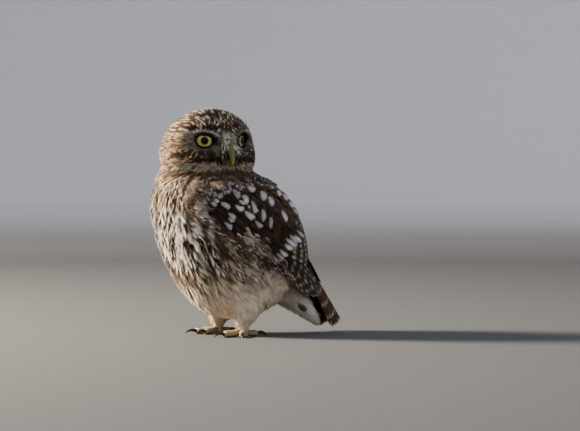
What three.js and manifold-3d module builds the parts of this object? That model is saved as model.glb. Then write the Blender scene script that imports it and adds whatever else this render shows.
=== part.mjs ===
// A little owl standing at rest, its head turned over its left shoulder. Units are millimetres, +Z is up,
// -Y is the way the breast faces and +X is the bird's left. The owl is laid out with the midpoint between its
// feet at zero, and at the end it is moved so that the bottom centre of its box is the origin.
import * as THREE from "three";
import { mergeVertices } from "three/addons/utils/BufferGeometryUtils.js";
import Module from "manifold-3d";

const wasm = await Module();
wasm.setup();

// Driving dimensions
const GAP = 0.3; // clearance between touching pieces
const MERGE = 1e-3; // vertices nearer than this are one
const TOLERANCE = 0.03; // how far the finished surface may stray from the joined one
const HEAD_HALF = 36; // half the width of the feathered head
const HEAD_FRONT = 28; // from the turning axis to the face
const HEAD_BACK = 34; // from the turning axis to the back of the head
const HEAD_TOP = 35.2; // from the head's centre to the crown
const HEAD_LOW = 23; // from the head's centre down into the neck
const HEAD_CENTRE = [1, -24.5, 141];
const HEAD_TURN = 98; // degrees that the face is turned to the bird's left
const HEAD_ROUNDNESS = 2.3; // of the head's level outline, where 2 is an ellipse and more is boxier
const FACE_STEEPNESS = 2.5; // the same of the profile over the face
const NAPE_STEEPNESS = 1.8; // and of the profile over the nape
const EYE_RADIUS = 8.5;
const EYE_CENTRE = [14.4, -14.1, 11]; // of the left eye, from the head's centre, with the face to -Y
const EYE_SPLAY = 27; // degrees that each eye looks outwards
const LID_THICKNESS = 0.8;
const NECK_JOIN_Z = 118; // height of the flat join of torso and neck
const TORSO_LOW_Z = 13; // the bottom of the belly
const TORSO_ROUNDNESS = 2.15;
const FOOT_CENTRE = [20, -3];
const TOE_RADIUS = 2.5;
const CLAW_LENGTH = 9;

const radians = THREE.MathUtils.degToRad;
const vec = (x, y, z) => new THREE.Vector3(x, y, z);

// A smooth curve through [place, value] pairs.
function track(pairs) {
  const last = pairs.length - 1;
  const slope = (i) => {
    const low = pairs[Math.max(i - 1, 0)];
    const high = pairs[Math.min(i + 1, last)];
    return (high[1] - low[1]) / (high[0] - low[0]);
  };
  return (place) => {
    const x = THREE.MathUtils.clamp(place, pairs[0][0], pairs[last][0]);
    let i = 0;
    while (i < last - 1 && x > pairs[i + 1][0]) i += 1;
    const span = pairs[i + 1][0] - pairs[i][0];
    const t = (x - pairs[i][0]) / span;
    const start = (2 * t ** 3 - 3 * t ** 2 + 1) * pairs[i][1] + (t ** 3 - 2 * t ** 2 + t) * span * slope(i);
    const end = (3 * t ** 2 - 2 * t ** 3) * pairs[i + 1][1] + (t ** 3 - t ** 2) * span * slope(i + 1);
    return start + end;
  };
}

// A repeatable random number from 0 to 1.
let seed = 7;
function random() {
  seed = (seed * 16807) % 2147483647;
  return seed / 2147483647;
}

const vary = (value, share) => value * (1 + share * (2 * random() - 1));
const shake = (value, most) => value + most * (2 * random() - 1);

// The geometry skinned over rings of points, each end closed by a fan.
function skin(rings) {
  const around = rings[0].length;
  const points = rings.flat();
  const faces = [];
  rings.slice(1).forEach((_, r) => {
    for (let i = 0; i < around; i += 1) {
      const j = (i + 1) % around;
      const [a, b] = [r * around + i, r * around + j];
      faces.push(a, b, a + around, b, b + around, a + around);
    }
  });
  [0, rings.length - 1].forEach((r) => {
    const middle = rings[r].reduce((sum, p) => sum.add(p), vec(0, 0, 0)).divideScalar(around);
    const hub = points.push(middle) - 1;
    for (let i = 0; i < around; i += 1) {
      const [a, b] = [r * around + i, r * around + ((i + 1) % around)];
      faces.push(...(r === 0 ? [b, a, hub] : [a, b, hub]));
    }
  });
  return new THREE.BufferGeometry().setFromPoints(points).setIndex(faces);
}

// A closed geometry as a solid, turned face out if it is inside out.
function solid(geometry) {
  const bare = geometry.clone();
  bare.deleteAttribute("normal");
  bare.deleteAttribute("uv");
  const merged = mergeVertices(bare, MERGE);
  const vertProperties = merged.attributes.position.array;
  const triVerts = new Uint32Array(merged.index.array);
  const made = new wasm.Manifold(new wasm.Mesh({ numProp: 3, vertProperties, triVerts }));
  if (made.volume() > 0) return made;
  return new wasm.Manifold(new wasm.Mesh({ numProp: 3, vertProperties, triVerts: triVerts.reverse() }));
}

const largest = (piece) => piece.decompose().sort((a, b) => b.volume() - a.volume())[0];

// A piece with others taken from it, as one closed body.
const clear = (piece, others) => largest(others.reduce((left, other) => left.subtract(other), piece));

function geometryOf(piece) {
  const mesh = piece.getMesh();
  const geometry = new THREE.BufferGeometry();
  geometry.setAttribute("position", new THREE.BufferAttribute(mesh.vertProperties, 3));
  return geometry.setIndex(new THREE.BufferAttribute(mesh.triVerts, 1));
}

// The named mesh of a solid, without edges too short to matter.
function node(name, piece, material) {
  const settled = largest(solid(geometryOf(largest(piece.simplify(TOLERANCE)))));
  const made = new THREE.Mesh(geometryOf(settled), material);
  made.name = name;
  return made;
}

// Everything under the floor
const floorCut = solid(new THREE.BoxGeometry(400, 400, 100).translate(0, 0, -50));

// Torso: level sections, each from its front to its back and out to its sides
const torsoFront = track([
  [13, -3], [15, -16], [22, -29], [30, -37.5], [43, -48], [58, -57], [74, -63.5], [90, -67.5], [100, -69.3],
  [110, -68.5], [118, -65.8],
]);
const torsoBack = track([
  [13, 4], [15, 16], [22, 30], [30, 39], [43, 50], [58, 56], [74, 55.5], [90, 51], [100, 45.5], [110, 38],
  [118, 28.5],
]);
const torsoHalf = track([
  [13, 4], [15, 15], [22, 25], [30, 32], [43, 38], [58, 41], [74, 42.5], [90, 42.5], [100, 41.5], [110, 39.5],
  [118, 36.5],
]);

function torsoRing(z, grow, count) {
  const middle = (torsoFront(z) + torsoBack(z)) / 2;
  const deep = (torsoBack(z) - torsoFront(z)) / 2 + grow;
  const wide = torsoHalf(z) + grow;
  const power = 2 / TORSO_ROUNDNESS;
  return Array.from({ length: count }, (_, i) => {
    const angle = (2 * Math.PI * i) / count;
    const bulge = (value) => Math.sign(value) * Math.abs(value) ** power;
    return vec(wide * bulge(Math.cos(angle)), middle + deep * bulge(Math.sin(angle)), z);
  });
}

function torso(grow) {
  const levels = 20;
  const rings = Array.from({ length: levels + 1 }, (_, i) => {
    const share = 1 - Math.cos((Math.PI / 2) * (i / levels) ** 0.85);
    const z = TORSO_LOW_Z + (NECK_JOIN_Z - TORSO_LOW_Z) * share;
    return torsoRing(z, grow, 28).map((p) => p.setZ(p.z + (i === 0 ? -grow : i === levels ? grow : 0)));
  });
  return solid(skin(rings));
}

// A point moved level, outwards, so that it stands at least clear outside the torso.
function offTorso(point, clear) {
  const middle = (torsoFront(point.z) + torsoBack(point.z)) / 2;
  const deep = (torsoBack(point.z) - torsoFront(point.z)) / 2 + clear;
  const wide = torsoHalf(point.z) + clear;
  const reach =
    (Math.abs(point.x / wide) ** TORSO_ROUNDNESS + Math.abs((point.y - middle) / deep) ** TORSO_ROUNDNESS) **
    (1 / TORSO_ROUNDNESS);
  if (reach >= 1) return point;
  return vec(point.x / reach, middle + (point.y - middle) / reach, point.z);
}

// The head's level outline: the reach from its axis at a longitude from the face.
function headOutline(longitude) {
  const deep = Math.cos(longitude) > 0 ? HEAD_FRONT : HEAD_BACK;
  const n = HEAD_ROUNDNESS;
  const share = Math.abs(Math.sin(longitude) / HEAD_HALF) ** n + Math.abs(Math.cos(longitude) / deep) ** n;
  return share ** (-1 / n);
}

// Neck: from the torso's flat top up into the head
const neckMix = track([[0, 0], [0.2, 0.3], [0.42, 0.85], [0.55, 1], [1, 1]]);
const neckSize = track([[0, 1.04], [0.5, 1.02], [1, 0.84]]);

function neck(grow) {
  const top = 136;
  const base = torsoRing(NECK_JOIN_Z, 0, 28);
  const rings = [0, 0.14, 0.28, 0.42, 0.55, 0.75, 1].map((share) => {
    const z = NECK_JOIN_Z + GAP + (top - NECK_JOIN_Z - GAP) * share;
    return base.map((p, i) => {
      const angle = (2 * Math.PI * i) / base.length;
      const out = vec(Math.cos(angle), Math.sin(angle), 0);
      const reach = headOutline(angle + Math.PI / 2 - radians(HEAD_TURN)) * neckSize(share);
      const round = vec(HEAD_CENTRE[0], HEAD_CENTRE[1], 0).addScaledVector(out, reach);
      const at = p.clone().setZ(0).lerp(round, neckMix(share));
      return at.addScaledVector(out, grow).setZ(z + (share === 1 ? grow : share === 0 ? -grow : 0));
    });
  });
  return solid(skin(rings));
}

// Head: a rounded box of a shape with swellings, each at a longitude from the face and a latitude, in degrees
const SWELLINGS = [
  { at: [0, 10], size: 2.4, spread: 11 }, // bristles round the bill
  { at: [10, 26], size: 2.2, spread: 8 }, // brow, from the bill outwards
  { at: [24, 33], size: 3, spread: 9 },
  { at: [42, 33], size: 3, spread: 10 },
  { at: [60, 28], size: 1.8, spread: 11 },
  { at: [40, 19], size: -4.6, spread: 12 }, // hollow of the eye
  { at: [66, -8], size: 3.4, spread: 20 }, // cheek, the rim of the disc
  { at: [30, -20], size: 1.6, spread: 14 }, // lower rim of the disc
  { at: [0, -28], size: 1.2, spread: 16 }, // chin
  { at: [0, 62], size: 1.2, spread: 24 }, // forehead
  { at: [180, 62], size: -1.2, spread: 24 }, // back of the crown
];

function headPoint(longitude, latitude) {
  const away = vec(
    Math.sin(longitude) * Math.cos(latitude),
    -Math.cos(longitude) * Math.cos(latitude),
    Math.sin(latitude),
  );
  const tall = latitude > 0 ? HEAD_TOP : HEAD_LOW;
  const n = THREE.MathUtils.lerp(NAPE_STEEPNESS, FACE_STEEPNESS, (1 + Math.cos(longitude)) / 2);
  const level = (Math.cos(latitude) / headOutline(longitude)) ** n;
  let reach = (level + Math.abs(Math.sin(latitude) / tall) ** n) ** (-1 / n);
  SWELLINGS.forEach(({ at, size, spread }) => {
    const sides = at[0] % 180 === 0 ? [1] : [-1, 1];
    sides.forEach((side) => {
      const [lon, lat] = [radians(side * at[0]), radians(at[1])];
      const peak = vec(Math.sin(lon) * Math.cos(lat), -Math.cos(lon) * Math.cos(lat), Math.sin(lat));
      const off = THREE.MathUtils.radToDeg(away.angleTo(peak)) / spread;
      reach += size * Math.exp(-(off ** 2) / 2);
    });
  });
  return away.multiplyScalar(reach);
}

// An eye's centre and the unit direction it looks, in the head's frame; side is 1 for the left.
function eyeFrame(side) {
  const centre = vec(side * EYE_CENTRE[0], EYE_CENTRE[1], EYE_CENTRE[2]);
  const look = vec(side * Math.sin(radians(EYE_SPLAY)), -Math.cos(radians(EYE_SPLAY)), 0);
  return { centre, look };
}

function eyeball(side, grow) {
  const { centre } = eyeFrame(side);
  const ball = new THREE.SphereGeometry(EYE_RADIUS + grow, 18, 10);
  return solid(ball.translate(centre.x, centre.y, centre.z));
}

// The half angle of the opening between the lids, at an angle round the eye from its outer side upwards.
const lidOpening = track([
  [0, 46], [45, 36], [90, 27], [135, 32], [180, 46], [225, 40], [270, 36], [315, 39], [360, 46],
]);

// Both lids of an eye as one ring that lies on the eyeball.
function lids(side) {
  const { centre, look } = eyeFrame(side);
  const up = vec(0, 0, 1);
  const outwards = up.clone().cross(look).multiplyScalar(side);
  const low = EYE_RADIUS + GAP;
  const section = [[low, 0], [low + LID_THICKNESS, 4], [low + LID_THICKNESS, 40], [low, 40]];
  const count = 20;
  const rings = Array.from({ length: count }, (_, i) => {
    const around = (2 * Math.PI * i) / count;
    const toRim = outwards.clone().multiplyScalar(Math.cos(around)).addScaledVector(up, Math.sin(around));
    return section.map(([radius, more]) => {
      const open = radians(lidOpening(THREE.MathUtils.radToDeg(around)) + more);
      return centre
        .clone()
        .addScaledVector(look, radius * Math.cos(open))
        .addScaledVector(toRim, radius * Math.sin(open));
    });
  });
  return solid(hoop(rings));
}

// The geometry skinned over rings that close on themselves.
function hoop(rings) {
  const around = rings[0].length;
  const total = rings.length * around;
  const faces = [];
  for (let r = 0; r < rings.length; r += 1) {
    for (let i = 0; i < around; i += 1) {
      const a = r * around + i;
      const b = r * around + ((i + 1) % around);
      faces.push(a, b, (a + around) % total, b, (b + around) % total, (a + around) % total);
    }
  }
  return new THREE.BufferGeometry().setFromPoints(rings.flat()).setIndex(faces);
}

// The funnel in the plumage through which the lids show.
function eyeFunnel(side) {
  const { centre, look } = eyeFrame(side);
  const funnel = new THREE.SphereGeometry(1, 16, 10).scale(8.6, 6.2, 7.4);
  funnel.rotateZ(side * radians(EYE_SPLAY));
  const at = centre.clone().addScaledVector(look, 11.2);
  return solid(funnel.translate(at.x, at.y, at.z));
}

// A tube of oval sections along stations of {at, wide, deep}, its sections square to its run.
function ovalTube(stations, count, grow = 0) {
  const rings = stations.map((station, i) => {
    const before = stations[Math.max(i - 1, 0)].at;
    const after = stations[Math.min(i + 1, stations.length - 1)].at;
    const run = after.clone().sub(before).normalize();
    const across = station.across ?? vec(1, 0, 0);
    const up = across.clone().cross(run).normalize();
    const side = run.clone().cross(up);
    return Array.from({ length: count }, (_, k) => {
      const angle = (2 * Math.PI * (k + 0.5)) / count;
      return station.at
        .clone()
        .addScaledVector(side, (station.wide + grow) * Math.cos(angle))
        .addScaledVector(up, (station.deep + grow) * Math.sin(angle));
    });
  });
  return solid(skin(rings));
}

// Bill, in the head's frame
function billUpper(grow) {
  const stations = [
    { at: vec(0, -20, 5.6), wide: 4.0, deep: 4.6 },
    { at: vec(0, -26.0, 5.2), wide: 3.9, deep: 4.4 },
    { at: vec(0, -29.8, 3.4), wide: 3.5, deep: 4.1 },
    { at: vec(0, -31.8, 0.4), wide: 2.9, deep: 3.5 },
    { at: vec(0, -32.9, -3.0), wide: 2.0, deep: 2.6 },
    { at: vec(0, -33.3, -6.0), wide: 1.1, deep: 1.5 },
    { at: vec(0, -33.0, -8.3), wide: 0.3, deep: 0.4 },
  ];
  const bill = ovalTube(stations, 12, grow);
  if (grow > 0) return bill;
  const nostrils = [-1, 1].map((side) =>
    solid(new THREE.SphereGeometry(0.8, 8, 6).translate(side * 2.7, -30.9, 5.4)),
  );
  return bill.subtract(nostrils[0]).subtract(nostrils[1]);
}

function billLower(grow) {
  const stations = [
    { at: vec(0, -20, -2.2), wide: 3.2, deep: 1.8 },
    { at: vec(0, -25.5, -3.4), wide: 2.9, deep: 1.7 },
    { at: vec(0, -28.4, -4.7), wide: 2.1, deep: 1.4 },
    { at: vec(0, -30.4, -6.2), wide: 1.0, deep: 0.8 },
  ];
  return ovalTube(stations, 10, grow);
}

// Pieces of the head are made with the face to -Y at zero, and this sets them on the neck.
const setHead = (piece) => piece.rotate([0, 0, HEAD_TURN]).translate(HEAD_CENTRE);

function head() {
  const [bands, around] = [20, 32];
  const rings = Array.from({ length: bands + 1 }, (_, i) => {
    const latitude = radians(-86 + (172 * i) / bands);
    return Array.from({ length: around }, (_, k) => headPoint((2 * Math.PI * k) / around, latitude));
  });
  let made = solid(skin(rings));
  [-1, 1].forEach((side) => {
    made = made.subtract(eyeFunnel(side)).add(lids(side)).subtract(eyeball(side, GAP));
  });
  made = made.subtract(billUpper(GAP)).subtract(billLower(GAP));
  return largest(setHead(made).subtract(neck(GAP)));
}

// Wing sheet: a curved surface over the bird's left side, on which every feather of the wing lies. It is
// measured by s from the shoulder, 0, to the tip, 1, and by q in millimetres across, upwards to the back.
const wingLine = new THREE.CatmullRomCurve3([
  vec(31, -47, 110), vec(42, -26, 98), vec(46, 2, 80), vec(34, 36, 57), vec(13, 70, 30),
]);
const wingOut = new THREE.CatmullRomCurve3([
  vec(0.84, -0.5, 0.2), vec(0.96, -0.2, 0.15), vec(0.96, 0.2, 0.1), vec(0.85, 0.45, 0.15),
  vec(0.75, 0.45, 0.45),
]);
const wingWrap = track([[0, 34], [0.25, 44], [0.5, 46], [0.75, 34], [1, 17]]);
const wingLow = track([[0, -9], [0.12, -14], [0.3, -18], [0.5, -18], [0.75, -14], [0.9, -9], [1, -4]]);
const wingHigh = track([[0, 7], [0.12, 20], [0.3, 40], [0.5, 50], [0.7, 39], [0.85, 23], [1, 5]]);
const wingClear = track([[-30, 3.6], [10, 3.4], [32, 1.2], [50, 0.4]]); // from the torso to the sheet at a q

function wingSheet(s, q, height) {
  const inside = THREE.MathUtils.clamp(s, 0, 1);
  const along = wingLine.getTangent(inside);
  const out = wingOut.getPoint(inside);
  out.addScaledVector(along, -out.dot(along)).normalize();
  const across = along.clone().cross(out);
  const up = across.z > 0 ? across : across.negate();
  const wrap = wingWrap(inside);
  const point = wingLine
    .getPoint(inside)
    .addScaledVector(along, (s - inside) * 150)
    .addScaledVector(up, wrap * Math.sin(q / wrap))
    .addScaledVector(out, -wrap * (1 - Math.cos(q / wrap)));
  const normal = out.multiplyScalar(Math.cos(q / wrap)).addScaledVector(up, Math.sin(q / wrap)).normalize();
  return offTorso(point, wingClear(q)).addScaledVector(normal, height);
}

// The wing sheet with its length in millimetres from the shoulder.
const wingStation = track([[0, 0], [25, 0.25], [60, 0.5], [103, 0.75], [151, 1]]);
const wingSurface = (along, q, height) => wingSheet(wingStation(along), q, height);

// The plate under the feathers, thick over the body and thin towards the tip.
const plateLow = track([[0, -5], [68, -5], [108, -3], [151, -1.4]]);

function wingPlate() {
  const [start, end, across] = [3, 131, 6];
  const rings = Array.from({ length: 11 }, (_, i) => {
    const along = start + ((end - start) * i) / 10;
    const s = wingStation(along);
    const [low, high] = [wingLow(s) + 2, wingHigh(s) - 3];
    const places = Array.from({ length: across + 1 }, (_, k) => THREE.MathUtils.lerp(low, high, k / across));
    const row = (height) => places.map((q) => wingSheet(s, q, height));
    return [...row(-0.3), ...row(plateLow(along)).reverse()];
  });
  return solid(skin(rings));
}

// A feather's vane on a sheet, from its root to its tip, each [along, q]. Its root is sunk, and its low edge is
// tilted up over the next vane's high edge. The shape is in shares of its length, width and thickness.
const VANE_SHAPE = [[0, 0.8, 1], [0.72, 1, 1], [0.92, 0.7, 0.8], [1, 0.16, 0.4]];

function vane(sheet, { root, tip, wide, height, tilt, sink }) {
  const rings = VANE_SHAPE.map(([t, share, thick]) => {
    const along = THREE.MathUtils.lerp(root[0], tip[0], t);
    const q = THREE.MathUtils.lerp(root[1], tip[1], t);
    const half = (wide / 2) * share;
    const h = height - sink * (1 - t) ** 2;
    return [
      sheet(along, q - half, h + tilt * share - 0.1),
      sheet(along, q, h + 0.35 * thick),
      sheet(along, q + half, h - tilt * share - 0.1),
      sheet(along, q, h - 0.5 * thick),
    ];
  });
  return solid(skin(rings));
}

// Rows of feathers: each gives a feather's [along, q] at its tip and at its root, and a height, for a share
// n of the row.
const WING_ROWS = [
  {
    count: 6, // primaries
    tip: (n) => [126 + 25 * Math.sin(Math.PI * (0.06 + 0.62 * n)), -10 + 15.5 * n],
    root: (n) => [80, -15 + 8 * n],
    height: (n) => 0.1 + 0.7 * n,
    wide: 10,
    tilt: 0.35,
  },
  {
    count: 6, // secondaries
    tip: (n) => [134 - 34 * n, 9 + 24 * n],
    root: (n) => [80 - 12 * n, -6 + 32 * n],
    height: (n) => 0.9 + 0.6 * n,
    wide: 13.5,
    tilt: 0.35,
  },
  {
    count: 3, // tertials
    tip: (n) => [94 - 9 * n, 36 + 4 * n],
    root: (n) => [62 - 4 * n, 30 + 8 * n],
    height: (n) => 1.5 + 0.2 * n,
    wide: 13,
    tilt: 0.2,
  },
  {
    count: 6, // greater coverts
    tip: (n) => [80 + 5 * n, -13 + 37 * n],
    root: (n) => [60, -12 + 34 * n],
    height: (n) => 1.4 + 0.4 * n,
    wide: 11.5,
    tilt: 0.3,
  },
  {
    count: 5, // median coverts
    tip: (n) => [64 + 4 * n, -12 + 34 * n],
    root: (n) => [45, -11 + 31 * n],
    height: (n) => 1.7 + 0.4 * n,
    wide: 13,
    tilt: 0.3,
  },
  {
    count: 4, // lesser coverts
    tip: (n) => [48 + 3 * n, -12 + 30 * n],
    root: (n) => [28, -10 + 27 * n],
    height: () => 2.1,
    wide: 14,
    tilt: 0.25,
  },
  {
    count: 3, // marginal coverts
    tip: (n) => [31 + 2 * n, -12 + 25 * n],
    root: (n) => [12, -7 + 18 * n],
    height: () => 2.2,
    wide: 13,
    tilt: 0.15,
  },
  {
    count: 2, // bend of the wing
    tip: (n) => [16, -5 + 11 * n],
    root: (n) => [1, -2 + 5 * n],
    height: () => 2.2,
    wide: 12,
    tilt: 0.1,
  },
  {
    count: 4, // lower scapulars
    tip: (n) => [33 + 42 * n, 25 + 9 * Math.sin(Math.PI * n)],
    root: (n) => [15 + 41 * n, 18 + 11 * Math.sin(Math.PI * n)],
    height: () => 2.3,
    wide: 14,
    tilt: 0.1,
  },
  {
    count: 4, // upper scapulars
    tip: (n) => [38 + 46 * n, 38 + 8 * Math.sin(Math.PI * n)],
    root: (n) => [19 + 43 * n, 29 + 13 * Math.sin(Math.PI * n)],
    height: () => 2.5,
    wide: 16,
    tilt: 0,
  },
];

function wing(side, clearOf) {
  let made = wingPlate();
  WING_ROWS.forEach((row) => {
    for (let i = 0; i < row.count; i += 1) {
      const n = i / (row.count - 1);
      const tip = row.tip(n).map((value) => shake(value, 0.6));
      const wide = vary(row.wide, 0.06);
      const [root, height] = [row.root(n), row.height(n)];
      const feather = { root, tip, wide, height, tilt: row.tilt, sink: height + 1 };
      made = made.add(vane(wingSurface, feather));
    }
  });
  if (side < 0) made = made.mirror([1, 0, 0]);
  return clear(made, clearOf);
}

// Tail: a roof of feathers from the rump, steep down to the floor
const TAIL_ROOT = [0, 58, 66];
const TAIL_END = [0, 94.2, 11.4];
const TAIL_LENGTH = 64.6;
const TAIL_WRAP = 12.5; // radius of the roof across, at the tip

function tailSheet(s, q, height) {
  const root = vec(...TAIL_ROOT);
  const along = vec(...TAIL_END).sub(root);
  const out = vec(0, -along.z, along.y).normalize();
  const wrap = TAIL_WRAP + 6 * (1 - s);
  return root
    .addScaledVector(along, s)
    .addScaledVector(vec(1, 0, 0), (wrap + height) * Math.sin(q / wrap))
    .addScaledVector(out, (wrap + height) * Math.cos(q / wrap) - wrap);
}

// The tail sheet with its length in millimetres from the root.
const tailSurface = (along, q, height) => tailSheet(along / TAIL_LENGTH, q, height);

// The solid bed under the tail's feathers.
function tailCore() {
  const rings = [0, 0.3, 0.6, 0.88].map((s) => {
    const half = 11 + 3 * s;
    const row = (height) => [-1, -0.5, 0, 0.5, 1].map((share) => tailSheet(s, half * share, height));
    return [...row(-0.4), ...row(-3.6).reverse()];
  });
  return solid(skin(rings));
}

// The whole tail with a clearance, as one smooth block.
function tailBlock() {
  const rings = [0, 0.3, 0.6, 0.8, 1].map((s) => {
    const half = 14 + 7 * s;
    const row = (height) => [-1, -0.6, -0.2, 0.2, 0.6, 1].map((share) => tailSheet(s, half * share, height));
    return [...row(0.9), ...row(-6).reverse()];
  });
  return solid(skin(rings));
}

// Twelve feathers in pairs: the middle pair lies on top and each next pair under the one before.
function tail() {
  let made = tailCore();
  for (let pair = 5; pair >= 0; pair -= 1) {
    [-1, 1].forEach((side) => {
      const feather = {
        root: [shake(8, 0.5), side * shake(1.5 + 2.2 * pair, 0.15)],
        tip: [shake(67.5 - 0.2 * pair, 0.5), side * shake(2.6 + 3 * pair, 0.2)],
        wide: vary(10.5, 0.03),
        height: shake(-0.35 - 0.62 * pair, 0.06) + (side > 0 && pair === 0 ? 0.3 : 0),
        tilt: -0.2 * side,
        sink: 2.5,
      };
      made = made.add(vane(tailSurface, feather));
    });
  }
  return made.subtract(floorCut);
}

// Undertail coverts: the soft white wedge between the vent and the tail
const UNDERTAIL = [
  { at: vec(0, 34, 40), wide: 18, deep: 15 },
  { at: vec(0, 47, 33), wide: 15, deep: 12 },
  { at: vec(0, 60, 22), wide: 11, deep: 8.5 },
  { at: vec(0, 70, 12.5), wide: 7, deep: 5.5 },
  { at: vec(0, 77, 5), wide: 2.5, deep: 2.5 },
];

function undertail(grow) {
  return ovalTube(UNDERTAIL, 16, grow).subtract(floorCut);
}

// Legs
function thigh(side, grow) {
  const x = side * FOOT_CENTRE[0];
  const stations = [
    { at: vec(x, 0, 34), wide: 13, deep: 17 },
    { at: vec(x, -1, 24), wide: 12, deep: 15 },
    { at: vec(x, -2, 16), wide: 9.5, deep: 11 },
    { at: vec(x, -3, 11), wide: 6.5, deep: 7.5 },
    { at: vec(x, -3, 8.5), wide: 5, deep: 5.5 },
  ];
  return ovalTube(stations, 16, grow);
}

// The shank, from inside the thigh down to the ball of the foot.
function shank(side, grow) {
  const x = side * FOOT_CENTRE[0];
  const y = FOOT_CENTRE[1];
  const stations = [
    { at: vec(x, y, 8.2 + grow), wide: 3.6, deep: 4 },
    { at: vec(x, y, 5), wide: 3.4, deep: 3.8 },
    { at: vec(x, y, 2), wide: 3.8, deep: 4.2 },
    { at: vec(x, y, -0.5), wide: 3.2, deep: 3.6 },
  ];
  return ovalTube(stations, 12, grow);
}

// Toes in order inner, middle, outer and hind: degrees outwards from straight ahead, and bare length
const TOES = [
  { name: "inner", heading: -20, reach: 16 },
  { name: "middle", heading: 8, reach: 18.5 },
  { name: "outer", heading: 58, reach: 14.5 },
  { name: "hind", heading: 168, reach: 11.5 },
];

// Stations of a toe: share of its length, height of its middle, and share of the toe's radius
const TOE_SHAPE = [
  [0, 3.6, 1], [0.22, 3.4, 1.02], [0.45, 2.5, 0.94], [0.7, 2.6, 1.02], [0.9, 2.2, 0.9], [1, 2.2, 0.62],
];
// Stations of a claw: share of its length, height of its middle, and radius
const CLAW_SHAPE = [[0, 2.3, 1.35], [0.3, 3.2, 1.2], [0.6, 3.0, 0.9], [0.85, 1.9, 0.5], [1, 0.6, 0.15]];

function toeFrame(side, toe) {
  const angle = radians(toe.heading);
  return {
    run: vec(side * Math.sin(angle), -Math.cos(angle), 0),
    across: vec(Math.cos(angle), side * Math.sin(angle), 0),
    start: vec(side * FOOT_CENTRE[0], FOOT_CENTRE[1], 0),
  };
}

function toe(side, spec, grow) {
  const { run, across, start } = toeFrame(side, spec);
  const stations = TOE_SHAPE.map(([share, lift, size]) => ({
    at: start.clone().addScaledVector(run, 1.5 + (spec.reach - 1.5) * share).setZ(lift),
    wide: TOE_RADIUS * size,
    deep: TOE_RADIUS * size,
    across,
  }));
  return ovalTube(stations, 8, grow);
}

function claw(side, spec) {
  const { run, across, start } = toeFrame(side, spec);
  const length = CLAW_LENGTH * (spec.name === "hind" ? 0.85 : 1);
  const stations = CLAW_SHAPE.map(([share, lift, radius]) => ({
    at: start.clone().addScaledVector(run, spec.reach + GAP + length * share).setZ(lift),
    wide: radius * 0.85,
    deep: radius,
    across,
  }));
  return ovalTube(stations, 6);
}

// Materials
const plumage = new THREE.MeshStandardMaterial({ color: 0x6b5746, roughness: 0.85 });
const pale = new THREE.MeshStandardMaterial({ color: 0xcbbba6, roughness: 0.9 });
const streaked = new THREE.MeshStandardMaterial({ color: 0xa08b74, roughness: 0.9 });
const horn = new THREE.MeshStandardMaterial({ color: 0xa3a04c, roughness: 0.4 });
const darkHorn = new THREE.MeshStandardMaterial({ color: 0x2c2620, roughness: 0.35 });
const iris = new THREE.MeshStandardMaterial({ color: 0xd9d25a, roughness: 0.1 });
const skinTone = new THREE.MeshStandardMaterial({ color: 0xb9a78c, roughness: 0.8 });

// Assembly
const owl = new THREE.Group();
const torsoClear = torso(GAP);
const neckClear = neck(GAP);
owl.add(node("torso", torso(0), streaked));
owl.add(node("neck", neck(0), streaked));
owl.add(node("head", head(), plumage));
owl.add(node("bill_upper", setHead(billUpper(0)), horn));
owl.add(node("bill_lower", setHead(clear(billLower(0), [billUpper(GAP)])).subtract(neckClear), horn));
[["left", 1], ["right", -1]].forEach(([word, side]) => {
  owl.add(node(`eye_${word}`, setHead(eyeball(side, 0)), iris));
  const thighMade = largest(thigh(side, 0).subtract(torsoClear));
  owl.add(node(`thigh_${word}`, thighMade, pale));
  const footMade = clear(shank(side, 0), [thigh(side, GAP), floorCut]);
  owl.add(node(`foot_${word}`, footMade, skinTone));
  TOES.forEach((spec, i) => {
    const others = TOES.slice(0, i).map((other) => toe(side, other, GAP));
    const toeMade = clear(toe(side, spec, 0), [...others, shank(side, GAP), floorCut]);
    owl.add(node(`toe_${spec.name}_${word}`, toeMade, skinTone));
    const clawMade = clear(claw(side, spec), [toe(side, spec, GAP), floorCut]);
    owl.add(node(`claw_${spec.name}_${word}`, clawMade, darkHorn));
  });
});
const undertailMade = clear(undertail(0), [torsoClear, thigh(1, GAP), thigh(-1, GAP)]);
owl.add(node("undertail_coverts", undertailMade, pale));
const undertailClear = undertail(GAP);
owl.add(node("tail", clear(tail(), [torsoClear, undertailClear]), plumage));
const bodyClear = [torsoClear, neckClear, undertailClear, tailBlock()];
owl.add(node("wing_left", wing(1, bodyClear), plumage));
owl.add(node("wing_right", wing(-1, bodyClear), plumage));

const box = new THREE.Box3().setFromObject(owl);
const middle = box.getCenter(vec(0, 0, 0));
owl.position.set(-middle.x, -middle.y, -box.min.z);

export default owl;
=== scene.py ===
"""The looks of a little owl at rest: one skin, a coat of single feathers, wings, tail, face and feet.

Lengths are millimetres in the bird's own frame: zero on the floor between the feet, -Y the way the breast
faces, +X the bird's left, +Z up. to_row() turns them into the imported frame's metres.
"""
import itertools
import math

import bmesh
import bpy
import numpy as np
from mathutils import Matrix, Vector
from mathutils.bvhtree import BVHTree


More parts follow.
